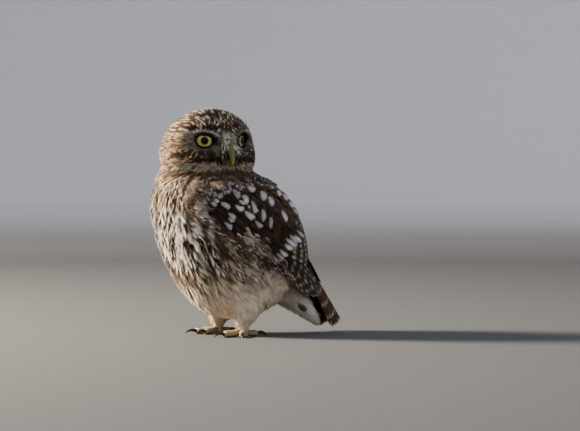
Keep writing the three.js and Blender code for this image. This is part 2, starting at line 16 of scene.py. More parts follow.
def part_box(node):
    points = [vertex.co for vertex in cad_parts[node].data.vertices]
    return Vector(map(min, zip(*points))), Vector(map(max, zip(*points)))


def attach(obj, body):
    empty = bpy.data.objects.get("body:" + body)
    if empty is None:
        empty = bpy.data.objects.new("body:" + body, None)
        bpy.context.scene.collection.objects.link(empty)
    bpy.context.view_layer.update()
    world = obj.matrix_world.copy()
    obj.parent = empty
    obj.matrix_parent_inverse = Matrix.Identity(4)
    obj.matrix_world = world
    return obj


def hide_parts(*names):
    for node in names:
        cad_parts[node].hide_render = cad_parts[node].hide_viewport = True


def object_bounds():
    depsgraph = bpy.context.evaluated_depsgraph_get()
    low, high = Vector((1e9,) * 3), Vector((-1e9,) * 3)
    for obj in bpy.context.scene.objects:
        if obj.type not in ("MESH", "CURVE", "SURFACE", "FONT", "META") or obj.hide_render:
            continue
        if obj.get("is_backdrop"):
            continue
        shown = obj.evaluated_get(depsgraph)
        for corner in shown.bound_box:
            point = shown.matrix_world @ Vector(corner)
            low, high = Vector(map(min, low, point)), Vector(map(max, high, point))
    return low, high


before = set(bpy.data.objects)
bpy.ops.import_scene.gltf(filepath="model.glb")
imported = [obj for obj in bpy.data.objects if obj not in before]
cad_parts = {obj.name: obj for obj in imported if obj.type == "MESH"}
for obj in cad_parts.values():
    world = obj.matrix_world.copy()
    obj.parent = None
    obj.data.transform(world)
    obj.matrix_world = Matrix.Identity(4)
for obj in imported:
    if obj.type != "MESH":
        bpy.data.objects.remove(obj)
CAD_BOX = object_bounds()
MM = 0.001

# Driving sizes, the same as the solids' own
HEAD_CENTRE = np.array([1.0, -24.5, 141.0])
HEAD_TURN = math.radians(98)
EYE_RADIUS = 8.5
EYE_CENTRE = np.array([14.4, -14.1, 11.0])
EYE_SPLAY = math.radians(27)
GAP = 0.3
EYE_LONG = 1.3  # how much longer than high the marks round an eye are
FOOT_CENTRE = (20.0, -3.0)
FLESH = ["torso", "neck", "head", "thigh_left", "thigh_right", "undertail_coverts", "foot_left", "foot_right"]

# The camera's place, from the photograph: 0.78 mm of the bird to a pixel of its 580 x 431
CAMERA_AZIMUTH = math.radians(60)
CAMERA_ELEVATION = math.radians(2)
CAMERA_DISTANCE = 2600.0
PIXEL = 0.78
PICTURE_WIDE = 580
PICTURE_TALL = 431
FLOOR_ROW = 335  # the picture's row at the height of the floor under the feet
FEET_COLUMN = 234  # the picture's column of the midpoint between the feet


# Numbers

def unit(v):
    return v / np.maximum(np.linalg.norm(v, axis=-1, keepdims=True), 1e-9)


def square_to(v, axis):
    """The unit direction of the part of v that is square to a unit axis."""
    return unit(v - axis * np.sum(v * axis, -1, keepdims=True))


def ramp(low, high, x):
    """0 below low, 1 above high and smooth between, also where low is above high."""
    t = np.clip((x - low) / (high - low), 0, 1)
    return t * t * (3 - 2 * t)


def mix(a, b, share):
    share = np.asarray(share)
    return a * (1 - share) + b * share


def blend(a, b, share):
    """Rows of a and b mixed by a share for each row."""
    return mix(a, b, np.asarray(share)[..., None])


def within(x, outer_low, low, high, outer_high):
    """1 from low to high, 0 outside the outer limits and smooth between."""
    return ramp(outer_low, low, x) * ramp(outer_high, high, x)


def plain(colour, count):
    """The same colour for each of count points."""
    return np.ones((count, 1)) * colour


def track(pairs):
    """A smooth curve through (place, value) pairs."""
    x, y = np.array(pairs, float).T
    last = len(x) - 1
    low = np.maximum(np.arange(last + 1) - 1, 0)
    high = np.minimum(np.arange(last + 1) + 1, last)
    slope = (y[high] - y[low]) / (x[high] - x[low])

    def value(place):
        at = np.clip(place, x[0], x[-1])
        i = np.clip(np.searchsorted(x, at, side="left") - 1, 0, last - 1)
        span = x[i + 1] - x[i]
        t = (at - x[i]) / span
        start = (2 * t**3 - 3 * t**2 + 1) * y[i] + (t**3 - 2 * t**2 + t) * span * slope[i]
        return start + (3 * t**2 - 2 * t**3) * y[i + 1] + (t**3 - t**2) * span * slope[i + 1]

    return value


# Frames

def turn_z(points, angle):
    c, s = math.cos(angle), math.sin(angle)
    x, y, z = np.moveaxis(np.asarray(points, float), -1, 0)
    return np.stack([x * c - y * s, x * s + y * c, z], -1)


def head_to_bird(points):
    return turn_z(points, HEAD_TURN) + HEAD_CENTRE


def bird_to_head(points):
    return turn_z(np.asarray(points, float) - HEAD_CENTRE, -HEAD_TURN)


def middle_of(node):
    low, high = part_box(node)
    return np.array((low + high) / 2) / MM


def eye_frame(side):
    """An eye's centre, and the unit directions that it looks, outwards and up, in the head's frame."""
    look = np.array([side * math.sin(EYE_SPLAY), -math.cos(EYE_SPLAY), 0])
    up = np.array([0.0, 0, 1])
    return EYE_CENTRE * [side, 1, 1], look, side * np.cross(up, look), up


EYES_MIDDLE = head_to_bird(EYE_CENTRE * [0, 1, 1])
SHIFT = (middle_of("eye_left") + middle_of("eye_right")) / 2 - EYES_MIDDLE


def to_row(points):
    return (np.asarray(points, float) + SHIFT) * MM


def to_bird(points):
    return np.asarray(points, float) / MM - SHIFT


def word_of(side):
    """The word for a side of the bird, 1 or -1, in the names of nodes and pieces."""
    return "left" if side > 0 else "right"


def srgb(red, green, blue):
    """Linear light for a colour given as 0 to 255."""
    c = np.array([red, green, blue]) / 255
    return np.where(c <= 0.04045, c / 12.92, ((c + 0.055) / 1.055) ** 2.4)


# Meshes

def mesh_piece(name, points, triangles, material, tint=None, lay=None, uv=None):
    """A piece of the owl from points in the bird's frame, riding on the one body."""
    mesh = bpy.data.meshes.new(name)
    triangles = np.asarray(triangles, np.int32)
    mesh.vertices.add(len(points))
    mesh.vertices.foreach_set("co", to_row(points).astype(np.float32).ravel())
    mesh.loops.add(triangles.size)
    mesh.loops.foreach_set("vertex_index", triangles.ravel())
    mesh.polygons.add(len(triangles))
    mesh.polygons.foreach_set("loop_start", np.arange(0, triangles.size, 3, dtype=np.int32))
    mesh.update(calc_edges=True)
    mesh.polygons.foreach_set("use_smooth", np.ones(len(triangles), bool))
    if tint is not None:
        rgba = np.concatenate([tint, np.ones((len(points), 1))], 1).astype(np.float32)
        mesh.attributes.new("tint", "FLOAT_COLOR", "POINT").data.foreach_set("color", rgba.ravel())
    if lay is not None:
        layer = mesh.attributes.new("lay", "FLOAT_VECTOR", "POINT")
        layer.data.foreach_set("vector", lay.astype(np.float32).ravel())
    if uv is not None:
        mesh.uv_layers.new(name="OFBake").data.foreach_set("uv", uv[triangles].astype(np.float32).ravel())
    mesh.materials.append(material)
    obj = bpy.data.objects.new(name, mesh)
    bpy.context.scene.collection.objects.link(obj)
    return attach(obj, "root")


# Materials

class Nodes:
    """A material's node tree, with short ways to add to it."""

    def __init__(self, name):
        self.material = bpy.data.materials.new(name)
        self.material.use_nodes = True
        self.tree = self.material.node_tree
        self.shader = self.tree.nodes["Principled BSDF"]

    def add(self, kind, **settings):
        node = self.tree.nodes.new(kind)
        inputs = settings.pop("inputs", {})
        for key, value in settings.items():
            setattr(node, key, value)
        for key, value in inputs.items():
            self.put(node, key, value)
        return node

    def put(self, node, key, value):
        if isinstance(value, bpy.types.NodeSocket):
            self.tree.links.new(value, node.inputs[key])
        else:
            node.inputs[key].default_value = value

    def multiplied(self, a, b):
        return self.add("ShaderNodeMath", operation="MULTIPLY", inputs={0: a, 1: b}).outputs[0]

    def sine(self, value):
        return self.add("ShaderNodeMath", operation="SINE", inputs={0: value}).outputs[0]

    def place(self):
        """Where a point is on its object, in metres."""
        return self.add("ShaderNodeTexCoord").outputs["Object"]

    def tint(self):
        return self.add("ShaderNodeAttribute", attribute_name="tint").outputs["Color"]

    def lay(self):
        """The three numbers that a point's lay holds."""
        vector = self.add("ShaderNodeAttribute", attribute_name="lay").outputs["Vector"]
        return self.add("ShaderNodeSeparateXYZ", inputs={0: vector}).outputs

    def noise(self, vector, scale, detail=2.0):
        node = self.add("ShaderNodeTexNoise", inputs={"Vector": vector, "Scale": scale, "Detail": detail})
        return node.outputs["Fac"]

    def mapped(self, value, low, high):
        """A 0 to 1 value as one from low to high."""
        node = self.add("ShaderNodeMapRange", inputs={"Value": value, "To Min": low, "To Max": high})
        return node.outputs[0]

    def scaled(self, colour, factor):
        grey = self.add("ShaderNodeCombineColor", inputs={0: factor, 1: factor, 2: factor}).outputs[0]
        inputs = {0: 1.0, 6: colour, 7: grey}
        return self.add("ShaderNodeMix", data_type="RGBA", blend_type="MULTIPLY", inputs=inputs).outputs[2]

    def mixed(self, factor, a, b):
        return self.add("ShaderNodeMix", data_type="RGBA", inputs={0: factor, 6: a, 7: b}).outputs[2]

    def bump(self, height, strength, distance):
        inputs = {"Strength": strength, "Distance": distance, "Height": height}
        self.put(self.shader, "Normal", self.add("ShaderNodeBump", inputs=inputs).outputs[0])

    def finish(self, colour, **values):
        self.put(self.shader, "Base Color", colour)
        for key, value in values.items():
            self.put(self.shader, key.replace("_", " "), value)
        return self.material


def plumage_material(name, sheen, barbs=None):
    """Feather: the piece's own tint under a soft mottle, and on firm feathers barbs along its lay."""
    n = Nodes(name)
    lay = n.lay()
    mottle = n.mapped(n.noise(n.place(), 900.0, 3.0), 0.82, 1.16)
    shade = n.multiplied(mottle, n.mapped(lay[2], 0.9, 1.1))
    if barbs:
        n.bump(n.sine(n.multiplied(lay[0], barbs)), 0.12, 0.0002)
    colour = n.scaled(n.tint(), shade)
    return n.finish(colour, Roughness=0.82, Sheen_Weight=sheen, Sheen_Roughness=0.5, Specular_IOR_Level=0.25)


def grained_material(name, scale, roughness, bump, colours=None, deep=0.0003, shades=(0.8, 1.15), **more):
    """Horn or hide with its grain raised: its own tint shaded by the grain, or two colours mixed by it."""
    n = Nodes(name)
    grain = n.noise(n.place(), scale, 4.0)
    n.bump(grain, bump, deep)
    if colours:
        first, second = ((*colour, 1) for colour in colours)
        colour = n.mixed(n.mapped(grain, -0.3, 1.3), first, second)
    else:
        colour = n.scaled(n.tint(), n.mapped(grain, *shades))
    return n.finish(colour, Roughness=roughness, **more)


PLUMAGE = plumage_material("owl_plumage", 0.25)
VANES = plumage_material("owl_vanes", 0.12, barbs=120.0)
SKIN = grained_material("owl_skin", 1400.0, 0.9, 0.6, deep=0.0004, shades=(0.6, 1.1), Specular_IOR_Level=0.2)

# Colours of the plumage
CREAM = srgb(236, 219, 194)
WHITE = srgb(246, 241, 232)
BUFF = srgb(190, 158, 122)
TAWNY = srgb(142, 106, 74)
BROWN = srgb(94, 70, 50)
DARK = srgb(54, 42, 33)
BLACK = srgb(26, 22, 20)
GREY = srgb(150, 143, 135)
LILAC = srgb(164, 159, 163)

# The flesh: one closed surface round the solids, and the skin inside it

VOXEL = 1.1
PUFF = 0.35  # how far each solid grows so that they close on one another
STAY = 0.4  # how much of its own place a relaxed vertex keeps
OUTLINE_ROUNDS, SKIN_ROUNDS = 10, 4
SKIN_UNDER = 0.3  # how far under the feathers' roots the skin lies


def flesh_mesh():
    """The solids of the flesh, grown a little and joined in one closed surface, in the bird's frame."""
    joined = bmesh.new()
    for name in FLESH:
        part = bmesh.new()
        part.from_mesh(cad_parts[name].data)
        bmesh.ops.remove_doubles(part, verts=part.verts, dist=1e-6)
        part.normal_update()
        for v in part.verts:
            v.co += v.normal * PUFF * MM
        mesh = bpy.data.meshes.new("part")
        part.to_mesh(mesh)
        part.free()
        joined.from_mesh(mesh)
        bpy.data.meshes.remove(mesh)
    mesh = bpy.data.meshes.new("flesh")
    joined.to_mesh(mesh)
    joined.free()
    obj = bpy.data.objects.new("flesh", mesh)
    bpy.context.scene.collection.objects.link(obj)
    remesh = obj.modifiers.new("one", "REMESH")
    remesh.mode = "VOXEL"
    remesh.voxel_size = VOXEL * MM
    evaluated = obj.evaluated_get(bpy.context.evaluated_depsgraph_get())
    made = bpy.data.meshes.new_from_object(evaluated)
    bpy.data.objects.remove(obj)
    return made


def arrays_of(mesh):
    """A mesh's vertices in the bird's frame and its triangles."""
    mesh.calc_loop_triangles()
    points = np.zeros(len(mesh.vertices) * 3)
    mesh.vertices.foreach_get("co", points)
    triangles = np.zeros(len(mesh.loop_triangles) * 3, np.int32)
    mesh.loop_triangles.foreach_get("vertices", triangles)
    return to_bird(points.reshape(-1, 3)), triangles.reshape(-1, 3)


def relax(points, triangles, rounds):
    """Each vertex moved to the middle of its neighbours, again and again."""
    edges = np.concatenate([triangles[:, [0, 1]], triangles[:, [1, 2]], triangles[:, [2, 0]]])
    edges = np.unique(np.sort(edges, 1), axis=0)
    a, b = edges.T

    def over_neighbours(values):
        return np.bincount(a, values[b], len(values)) + np.bincount(b, values[a], len(values))

    count = over_neighbours(np.ones(len(points)))
    for _ in range(rounds):
        total = np.stack([over_neighbours(axis) for axis in points.T], -1)
        points = STAY * points + (1 - STAY) * total / count[:, None]
    return points


def vertex_normals(points, triangles):
    a, b, c = points[triangles[:, 0]], points[triangles[:, 1]], points[triangles[:, 2]]
    face = np.cross(b - a, c - a)
    total = np.zeros_like(points)
    for k in range(3):
        for axis in range(3):
            total[:, axis] += np.bincount(triangles[:, k], face[:, axis], len(points))
    return unit(total)


# Where a point of the plumage is

HEAD_LOW, HEAD_HIGH = 118, 125  # heights between which the body's plumage becomes the head's
NO_RING = 99.0  # the ring of a place behind the eyes


class Place:
    """Points of the plumage with what their feathers depend on: height, head angles and the nearer eye.

    head is the place in the head's frame, longitude the degrees round it from the bill, ring the distance
    from the nearer eye's line of sight and eye_deep from its centre. headness, face and back are shares.
    """

    def __init__(self, points):
        self.at = np.asarray(points, float)
        self.x, self.y, self.z = self.at.T
        self.head = bird_to_head(self.at)
        hx, hy, _ = self.head.T
        flat = 0 * hx
        self.longitude = np.degrees(np.abs(np.arctan2(hx, -hy)))
        self.headness = ramp(HEAD_LOW, HEAD_HIGH, self.z)
        side = np.where(hx >= 0, 1.0, -1.0)
        look = np.stack([side * math.sin(EYE_SPLAY), flat - math.cos(EYE_SPLAY), flat], -1)
        out = np.stack([side * math.cos(EYE_SPLAY), flat + math.sin(EYE_SPLAY), flat], -1)
        away = self.head - EYE_CENTRE * np.stack([side, flat + 1, flat + 1], -1)
        forth = np.sum(away * look, -1)
        self.from_eye = away - forth[:, None] * look
        self.eye_out = np.sum(away * out, -1)
        self.eye_up = away[:, 2]
        self.ring = np.where(forth > -3, np.hypot(self.eye_out / EYE_LONG, self.eye_up), NO_RING)
        self.eye_deep = np.linalg.norm(away, axis=-1)
        self.face = self.headness * ramp(115, 75, self.longitude)
        behind = ramp(-2, 14, self.z - 76 + 0.62 * self.y) * ramp(-50, -35, self.y)
        self.back = behind * ramp(40, 48, self.z) * (1 - self.headness)


# Coat by region: length, width, spacing, depth under the outline, lift of the tip
COATS = {
    "breast": (13.0, 4.4, 2.0, 3.0, 0.5),
    "belly": (17, 5.0, 2.1, 3.6, 0.9),
    "back": (13, 7.0, 2.6, 2.6, 0.3),
    "collar": (9.0, 3.6, 1.6, 2.6, 0.45),
    "crown": (6.4, 2.3, 1.15, 1.8, 0.25),
    "cheek": (6.0, 2.0, 1.1, 1.7, 0.4),
    "disc": (4.6, 1.3, 0.85, 1.0, 0.25),
    "rim": (2.4, 0.9, 0.7, 0.5, 0.15),
    "thigh": (9.0, 3.2, 1.6, 2.2, 0.6),
    "undertail": (16, 6.0, 2.4, 2.2, 0.3),
    "shank": (3.8, 1.2, 0.85, 0.8, 0.25),
}


def coat_of(place):
    """The coat's five sizes at each point."""
    row = {name: np.array(sizes, float) for name, sizes in COATS.items()}
    made = blend(row["belly"], row["breast"], ramp(48, 78, place.z))
    made = blend(made, row["back"], place.back)
    made = blend(made, row["collar"], ramp(104, 116, place.z))
    made = blend(made, row["undertail"], ramp(42, 55, place.y) * ramp(42, 34, place.z))
    made = blend(made, row["thigh"], ramp(26, 18, place.z) * ramp(40, 30, place.y))
    made = blend(made, row["shank"], ramp(12, 8, place.z) * ramp(30, 20, place.y))
    across, _, up = place.head.T
    head = blend(row["cheek"], row["crown"], ramp(4, 16, up))
    head = blend(head, row["disc"], place.face * ramp(19, 14, place.ring))
    head = blend(head, row["disc"], place.face * ramp(10, 6, np.abs(across)) * ramp(24, 14, up))
    head = blend(head, row["rim"], ramp(11, 8, place.ring))
    return blend(made, head, place.headness)


BILL_ROOT = np.array([0.0, -27.0, 3.0])


def heading_of(place):
    """The way the feathers lie at each point."""
    zero = 0 * place.z
    sweep = mix(0.85, 0.2, ramp(45, 108, place.z))
    body = np.stack([zero, sweep + 0.6 * place.back, zero - 1], -1)
    tail_side = ramp(36, 50, place.y) * ramp(48, 38, place.z)
    body = blend(body, np.array([0, 0.78, -0.63]), tail_side)
    body = blend(body, np.array([0, 0.05, -1.0]), ramp(28, 18, place.z) * ramp(40, 25, place.y))
    away = unit(place.head - BILL_ROOT)
    head = away - np.array([0, 0, 1.3]) * ramp(95, 150, place.longitude)[:, None]
    head = blend(head, unit(place.from_eye), place.face * ramp(20, 13, place.ring))
    lores = place.face * ramp(8, 4, np.abs(place.head[:, 0])) * ramp(15, 9, place.head[:, 2])
    down = np.stack([0.08 * place.head[:, 0], zero - 0.25, zero - 1], -1)
    head = blend(head, down, lores * ramp(-6, -1, place.head[:, 2]))
    return unit(blend(unit(body), turn_z(unit(head), HEAD_TURN), place.headness))


# Markings

# What is drawn for the drop of each cell: its place across and down, size, width and whether it is there
DROP_COLUMNS, DROP_ROWS = 61, 67
DROPS = np.random.default_rng(8).random((DROP_COLUMNS, DROP_ROWS, 5))


def drops(across, down, cell, size, share):
    """How deep in a drop-shaped mark each place is: one mark, or none, anywhere in each cell of a grid."""
    value = 0 * across
    column, row = np.floor(across / cell[0]), np.floor(down / cell[1])
    for i, j in np.ndindex(3, 3):
        c, r = column + i - 1, row + j - 1
        drawn = DROPS[(c % DROP_COLUMNS).astype(int), (r % DROP_ROWS).astype(int)]
        s = (down - (r + 0.1 + 0.8 * drawn[..., 1]) * cell[1]) / (size[1] * (0.6 + 0.8 * drawn[..., 2]))
        middle = (c + 0.15 + 0.7 * drawn[..., 0]) * cell[0] + size[0] * (drawn[..., 2] - 0.5) * s * np.abs(s)
        wide = size[0] * (0.6 + 0.8 * drawn[..., 3]) * np.clip(0.8 + 0.35 * s, 0.3, 1.3)
        reach = np.hypot((across - middle) / wide, s)
        value = np.maximum(value, ramp(1.15, 0.7, reach) * ramp(1 - share, 1.08 - share, drawn[..., 4]))
    return value


NECK_HEIGHT = 112.0
NECK_MIDDLE = -18.0
NECK_RADIUS = 38.0
HEAD_TALL = 60  # how far above the neck a place of the head still counts
FLOW_STEP = 6.0
FLOW_STEPS = 22  # enough to reach the neck from the tail


def flow_of(surface, points):
    """Where the feathers' flow through each point starts round the neck, and how far down from there."""
    at, normal = surface.nearest(points)
    down = np.zeros(len(at))
    for _ in range(FLOW_STEPS):
        below = np.flatnonzero(at[:, 2] < NECK_HEIGHT)
        if not len(below):
            break
        lie = square_to(heading_of(Place(at[below])), normal[below])
        at[below], normal[below] = surface.nearest(at[below] - lie * FLOW_STEP)
        down[below] += FLOW_STEP
    rest = np.clip(NECK_HEIGHT + FLOW_STEP - at[:, 2], -HEAD_TALL, FLOW_STEP)
    return np.arctan2(at[:, 0], NECK_MIDDLE - at[:, 1]) * NECK_RADIUS, down + rest


def crown_colour(place, far, draw):
    """Dark brown with fine pale drops, longer toward the back and larger on the nape."""
    x, _, z = place.head.T
    turn = np.where(z > 3, np.arctan2(x, np.maximum(z - 3, 0.5)) * 14, np.sign(x) * (22 + 0.8 * (3 - z)))
    brown = blend(DARK, BROWN, 0.2 + 0.5 * draw[:, 0])
    fine = drops(1.4 * turn, far, (1.9, 2.5), (0.66, 1.1), 0.97)
    long = drops(1.7 * turn, far, (2.2, 4.2), (0.78, 2.0), 0.98)
    pale = blend(mix(CREAM, WHITE, 0.3), BUFF, 0.75 * ramp(40, 75, place.longitude))
    crown = blend(brown, pale, 0.92 * mix(fine, long, ramp(23, 30, far)))
    nape = blend(brown, mix(CREAM, BUFF, 0.5), drops(turn, far, (2.8, 5.0), (0.9, 1.6), 0.95))
    return blend(crown, nape, ramp(110, 140, place.longitude))


def side_colour(place, far, draw):
    """The head without its face marks: crown, flecked cheeks, grey disc round the eye and tawny temple."""
    z, ring, longitude = place.head[:, 2], place.ring, place.longitude
    fleck = drops(z, far, (2.2, 3.2), (1.0, 1.5), 0.98)
    cheek = blend(mix(BUFF, TAWNY, 0.5), CREAM, 0.45 * draw[:, 1])
    cheek = blend(cheek, mix(BROWN, DARK, 0.85), 0.97 * fleck)
    crownness = np.maximum(ramp(14, 20, z), ramp(85, 115, longitude) * ramp(-2, 10, z))
    head = blend(cheek, crown_colour(place, far, draw), crownness)
    disc = place.face * ramp(17, 13, ring) * within(z, -14, -9, 17, 20)
    head = blend(head, blend(GREY, BROWN, ramp(0.3, 0.9, draw[:, 2])), disc)
    temple = within(longitude, 62, 72, 94, 106) * within(place.eye_up, -9, -6, -1, 2)
    return blend(head, mix(BUFF, TAWNY, 0.6), 0.7 * temple * place.headness * (1 - 0.8 * fleck))


def mark_brow_and_lores(head, place, draw):
    """The black above the eye, the pale brow, the whitish lores with dark flecks and the eye's black rim."""
    x, _, z = place.head.T
    out, up, face = place.eye_out, place.eye_up, place.face
    above = face * within(up, 8.0, 9.0, 11, 13.5) * within(out, -9, -5, 11, 16)
    head = blend(head, BLACK, 0.75 * above * ramp(0.25, 0.45, draw[:, 3]))
    brow_line = 7.6 - 0.018 * out**2 + 0.12 * out
    brow = face * ramp(1.5, 0.7, np.abs(up - brow_line)) * within(out, -13, -9, 7, 13)
    lores = face * ramp(7.5, 5.0, np.abs(x)) * within(z, 2, 5, 15, 19)
    head = blend(head, blend(WHITE, GREY, 0.15 + 0.5 * draw[:, 1]), 0.85 * lores)
    head = blend(head, blend(mix(WHITE, GREY, 0.15), GREY, 0.6 * draw[:, 0]), 0.9 * brow)
    head = blend(head, DARK, 0.8 * lores * ramp(0.68, 0.78, draw[:, 2]))
    rim = ramp(0.9, 0, place.ring - mix(5.2, 6.1, ramp(-2, 2, up))) * (place.headness > 0.5)
    corner = face * ramp(4.5, 2.0, np.abs(up + 0.5)) * within(out, -11, -9.5, -7, -5)
    return blend(head, BLACK, np.maximum(rim, 0.9 * corner))


def mark_cheeks(head, place, draw):
    """Buff bars under the eye, a black crescent below them, dark by the bill, a grizzled pale band and a
    painted shadow line under the head.
    """
    x, y, z = place.head.T
    off, face = np.abs(x), place.face
    barred = drops(x * 1.2, z + 0.3 * y, (2.2, 2.6), (0.55, 1.2), 0.85)
    bars_under = face * within(z, -3, -1.5, 3, 4.5) * ramp(11, 13, off)
    head = blend(head, blend(mix(BROWN, DARK, 0.5), mix(BUFF, CREAM, 0.5), barred), bars_under)
    crescent = face * within(z, -7.0, -5.8, -3.0, -1.6) * within(off, 5, 9, 27, 32)
    head = blend(head, BLACK, 0.95 * crescent)
    by_bill = face * ramp(15, 11, off) * within(z, -9, -7, 2.5, 4.5)
    head = blend(head, mix(DARK, BROWN, 0.25), 0.85 * by_bill * ramp(0.15, 0.4, draw[:, 0]))
    under_bill = face * ramp(9, 6, off) * within(z, -10, -8, -5, -3)
    band = within(z, -13.0, -11.5, -7.5, -6.0) * ramp(100, 70, place.longitude) * (1 - under_bill)
    grizzled = blend(mix(CREAM, WHITE, 0.4), GREY, 0.4 + 0.6 * draw[:, 0])
    head = blend(head, blend(grizzled, BROWN, 0.8 * (draw[:, 2] > 0.75)), 0.8 * band)
    # Painted shadow: a dark line low on the head, mostly on the left, where the head overhangs the body.
    line = within(z, -18, -16, -14, -12.5) * ramp(-10, 15, place.x) * place.headness
    return blend(head, mix(DARK, BROWN, 0.3), 0.75 * line)


def head_colour(place, draw):
    """The ground colour of each feather of the head."""
    far = np.linalg.norm(place.head - BILL_ROOT, axis=-1)
    head = side_colour(place, far, draw)
    return mark_cheeks(mark_brow_and_lores(head, place, draw), place, draw)


# Where feathers root whose tips make a brown drop under the tail, on each side
TAIL_DROP = np.array([9.0, 57.5, 19.5])


def body_colour(place, draw, beside, upper, lower):
    """The ground colour of the body's feathers: white below, tan above, grey at the side, brown behind, and
    painted shade under the head.
    """
    pale = blend(WHITE, CREAM, 0.2 + 0.5 * draw[:, 1])
    pale = blend(pale, mix(BUFF, TAWNY, 0.3), (0.35 + 0.6 * draw[:, 3]) * upper)
    pale = blend(pale, mix(CREAM, BUFF, 0.3), (0.5 + 0.3 * draw[:, 0]) * lower)
    pale = blend(pale, mix(GREY, CREAM, 0.2), (0.45 + 0.4 * draw[:, 2]) * beside * ramp(36, 58, place.z))
    ground = blend(pale, mix(DARK, BROWN, 0.45), place.back)
    ground = blend(ground, mix(CREAM, WHITE, 0.8), ramp(44, 54, place.y) * ramp(44, 34, place.z))
    folded = np.stack([np.abs(place.x), place.y, place.z], -1)
    tail_drop = ramp(3.4, 2.0, np.linalg.norm(folded - TAIL_DROP, axis=-1))
    ground = blend(ground, mix(BROWN, DARK, 0.3), 0.9 * tail_drop)
    # Painted shadow: the body's feathers on the left just under the head are darkened where the head shades
    # them.
    painted_nape_shadow = ramp(103, 111, place.z) * ramp(2, 16, place.x) * ramp(-52, -38, place.y)
    return blend(ground, mix(DARK, BROWN, 0.2), 0.75 * painted_nape_shadow)


def dress(place, flow, rng, length=1, wide=2):
    """Each feather's ground, marks, shaft streak, spot and tip: their colours, sizes and strengths."""
    count = len(place.z)
    draw = rng.random((count, 4))
    light = 0.88 + 0.24 * rng.random(count)
    beside = ramp(24, 38, np.abs(place.x)) * ramp(110, 95, place.z) * ramp(-45, -25, place.y)
    upper = ramp(91, 105, place.z) * (1 - beside)
    lower = ramp(60, 40, place.z)
    marked = ramp(29, 52, place.z - 0.25 * place.y) * (1 - place.back) * (1 - place.headness)
    streak_gain = mix(marked, 1 - ramp(12, 18, place.head[:, 2]), place.headness)
    body = body_colour(place, draw, beside, upper, lower)
    return {
        "around": flow[0],
        "down": flow[1],
        "length": length + np.zeros(count),
        "half": wide / 2 + np.zeros(count),
        "ground": blend(body, head_colour(place, draw), place.headness),
        "marks": marked,
        "fineness": upper,
        "mark": blend(mix(BROWN, DARK, 0.95), mix(BROWN, TAWNY, 0.3), np.maximum(0.55 * beside, 0.8 * lower)),
        "streak": blend(BROWN, DARK, 0.7 * place.headness),
        "streak_gain": 0.35 * streak_gain * ramp(0.4, 0.8, draw[:, 3]),
        "streak_wide": mix(0.4 + 0.2 * draw[:, 0], 0.45, place.headness),
        "spot": plain(mix(CREAM, WHITE, 0.4), count),
        "spot_gain": place.back * ramp(0.4, 0.5, draw[:, 2]),
        "tip": plain(mix(CREAM, WHITE, 0.5), count),
        "tip_gain": 0.12 * marked,
        "light": light,
    }


FINE_MARKS = ((2.4, 6.5), (1.05, 4.2), 0.98)
BOLD_MARKS = ((3.9, 13.0), (1.85, 10.0), 0.98)


def marks_at(across, down, fineness):
    """How brown a place of the underparts is: long drops that run with the feathers."""
    return mix(drops(across, down, *BOLD_MARKS), drops(across, down, *FINE_MARKS), fineness)


# A back feather's spot, in shares of its length and half width
SPOT_AT, SPOT_LONG, SPOT_WIDE = 0.76, 0.15, 0.6


def paint(dressed, along, across):
    """The colours of feathers' points, (feathers, points, 3), at their places along and across a feather."""
    per = {key: values[:, None] for key, values in dressed.items()}
    a, c = along[None, :], across[None, :]
    wide = per["streak_wide"]
    streak = per["streak_gain"] * ramp(wide, 0.4 * wide, np.abs(c)) * within(a, 0.0, 0.3, 0.86, 1.0)
    colour = blend(per["ground"], per["streak"], streak)
    if dressed["marks"].max() > 0:
        around = per["around"] + c * per["half"]
        down = per["down"] + a * per["length"]
        colour = blend(colour, per["mark"], per["marks"] * marks_at(around, down, per["fineness"]))
    reach = ((a - SPOT_AT) / SPOT_LONG) ** 2 + (c / SPOT_WIDE) ** 2
    colour = blend(colour, per["spot"], per["spot_gain"] * ramp(1.15, 0.6, reach))
    colour = blend(colour, per["tip"], per["tip_gain"] * ramp(0.84, 1.0, a))
    shadow = 1 - 0.3 * ramp(0.45, 0.0, a)
    return colour * (per["light"] * shadow)[..., None]


# One feather, on a spine from 0 to 1 along and -1 to 1 across

class Ribbons:
    """Barbs as tapered ribbons: (along, across, lift) of each point, and the triangles."""

    def __init__(self, aspect):
        self.aspect = aspect
        self.points, self.faces = [], []

    def add(self, start, bend, end, sections, tip_lift):
        """A ribbon drawn toward bend, with its half width and its lift at some shares of its length."""
        start, bend, end = np.array([start, bend, end], float)
        first = len(self.points)
        for s, half, lift in sections:
            at = (1 - s) ** 2 * start + 2 * s * (1 - s) * bend + s * s * end
            run = ((1 - s) * (bend - start) + s * (end - bend)) * [self.aspect, 1]
            off = np.array([-run[1], run[0] * self.aspect]) * half / max(np.linalg.norm(run), 1e-6)
            self.points += [[*(at + off), lift], [*(at - off), lift]]
        self.points.append([*end, tip_lift])
        last = len(self.points) - 3
        for i in range(first, last, 2):
            self.faces += [[i, i + 1, i + 2], [i + 1, i + 3, i + 2]]
        self.faces.append([last, last + 1, last + 2])

    def arrays(self):
        return np.array(self.points), np.array(self.faces)


FIRM_ASPECT = 4.0  # a firm feather's length over half its width
BARB_STATIONS = np.linspace(0, 0.8, 5)
BARB_THICK = 0.78  # half the width of a firm feather's barb, as a share of the room for it
BARB_SWEEP = 0.22  # how far a barb runs toward the tip, as a share of the way left


def shaft_ridge():
    """The shaft of a firm feather as a low ridge, in the same terms as its barbs."""
    t = np.linspace(0, 0.96, 12)
    half, high, flat = 0.045 * (1 - 0.85 * t), 0.22 * (1 - 0.7 * t), 0 * t
    points = np.array([[t, -half, flat], [t, flat, high], [t, half, flat]]).transpose(2, 0, 1)
    strip = np.array([[0, 1, 3], [1, 4, 3], [1, 2, 4], [2, 5, 4]])
    faces = strip + 3 * np.arange(len(t) - 1)[:, None, None]
    return points.reshape(-1, 3), faces.reshape(-1, 3)


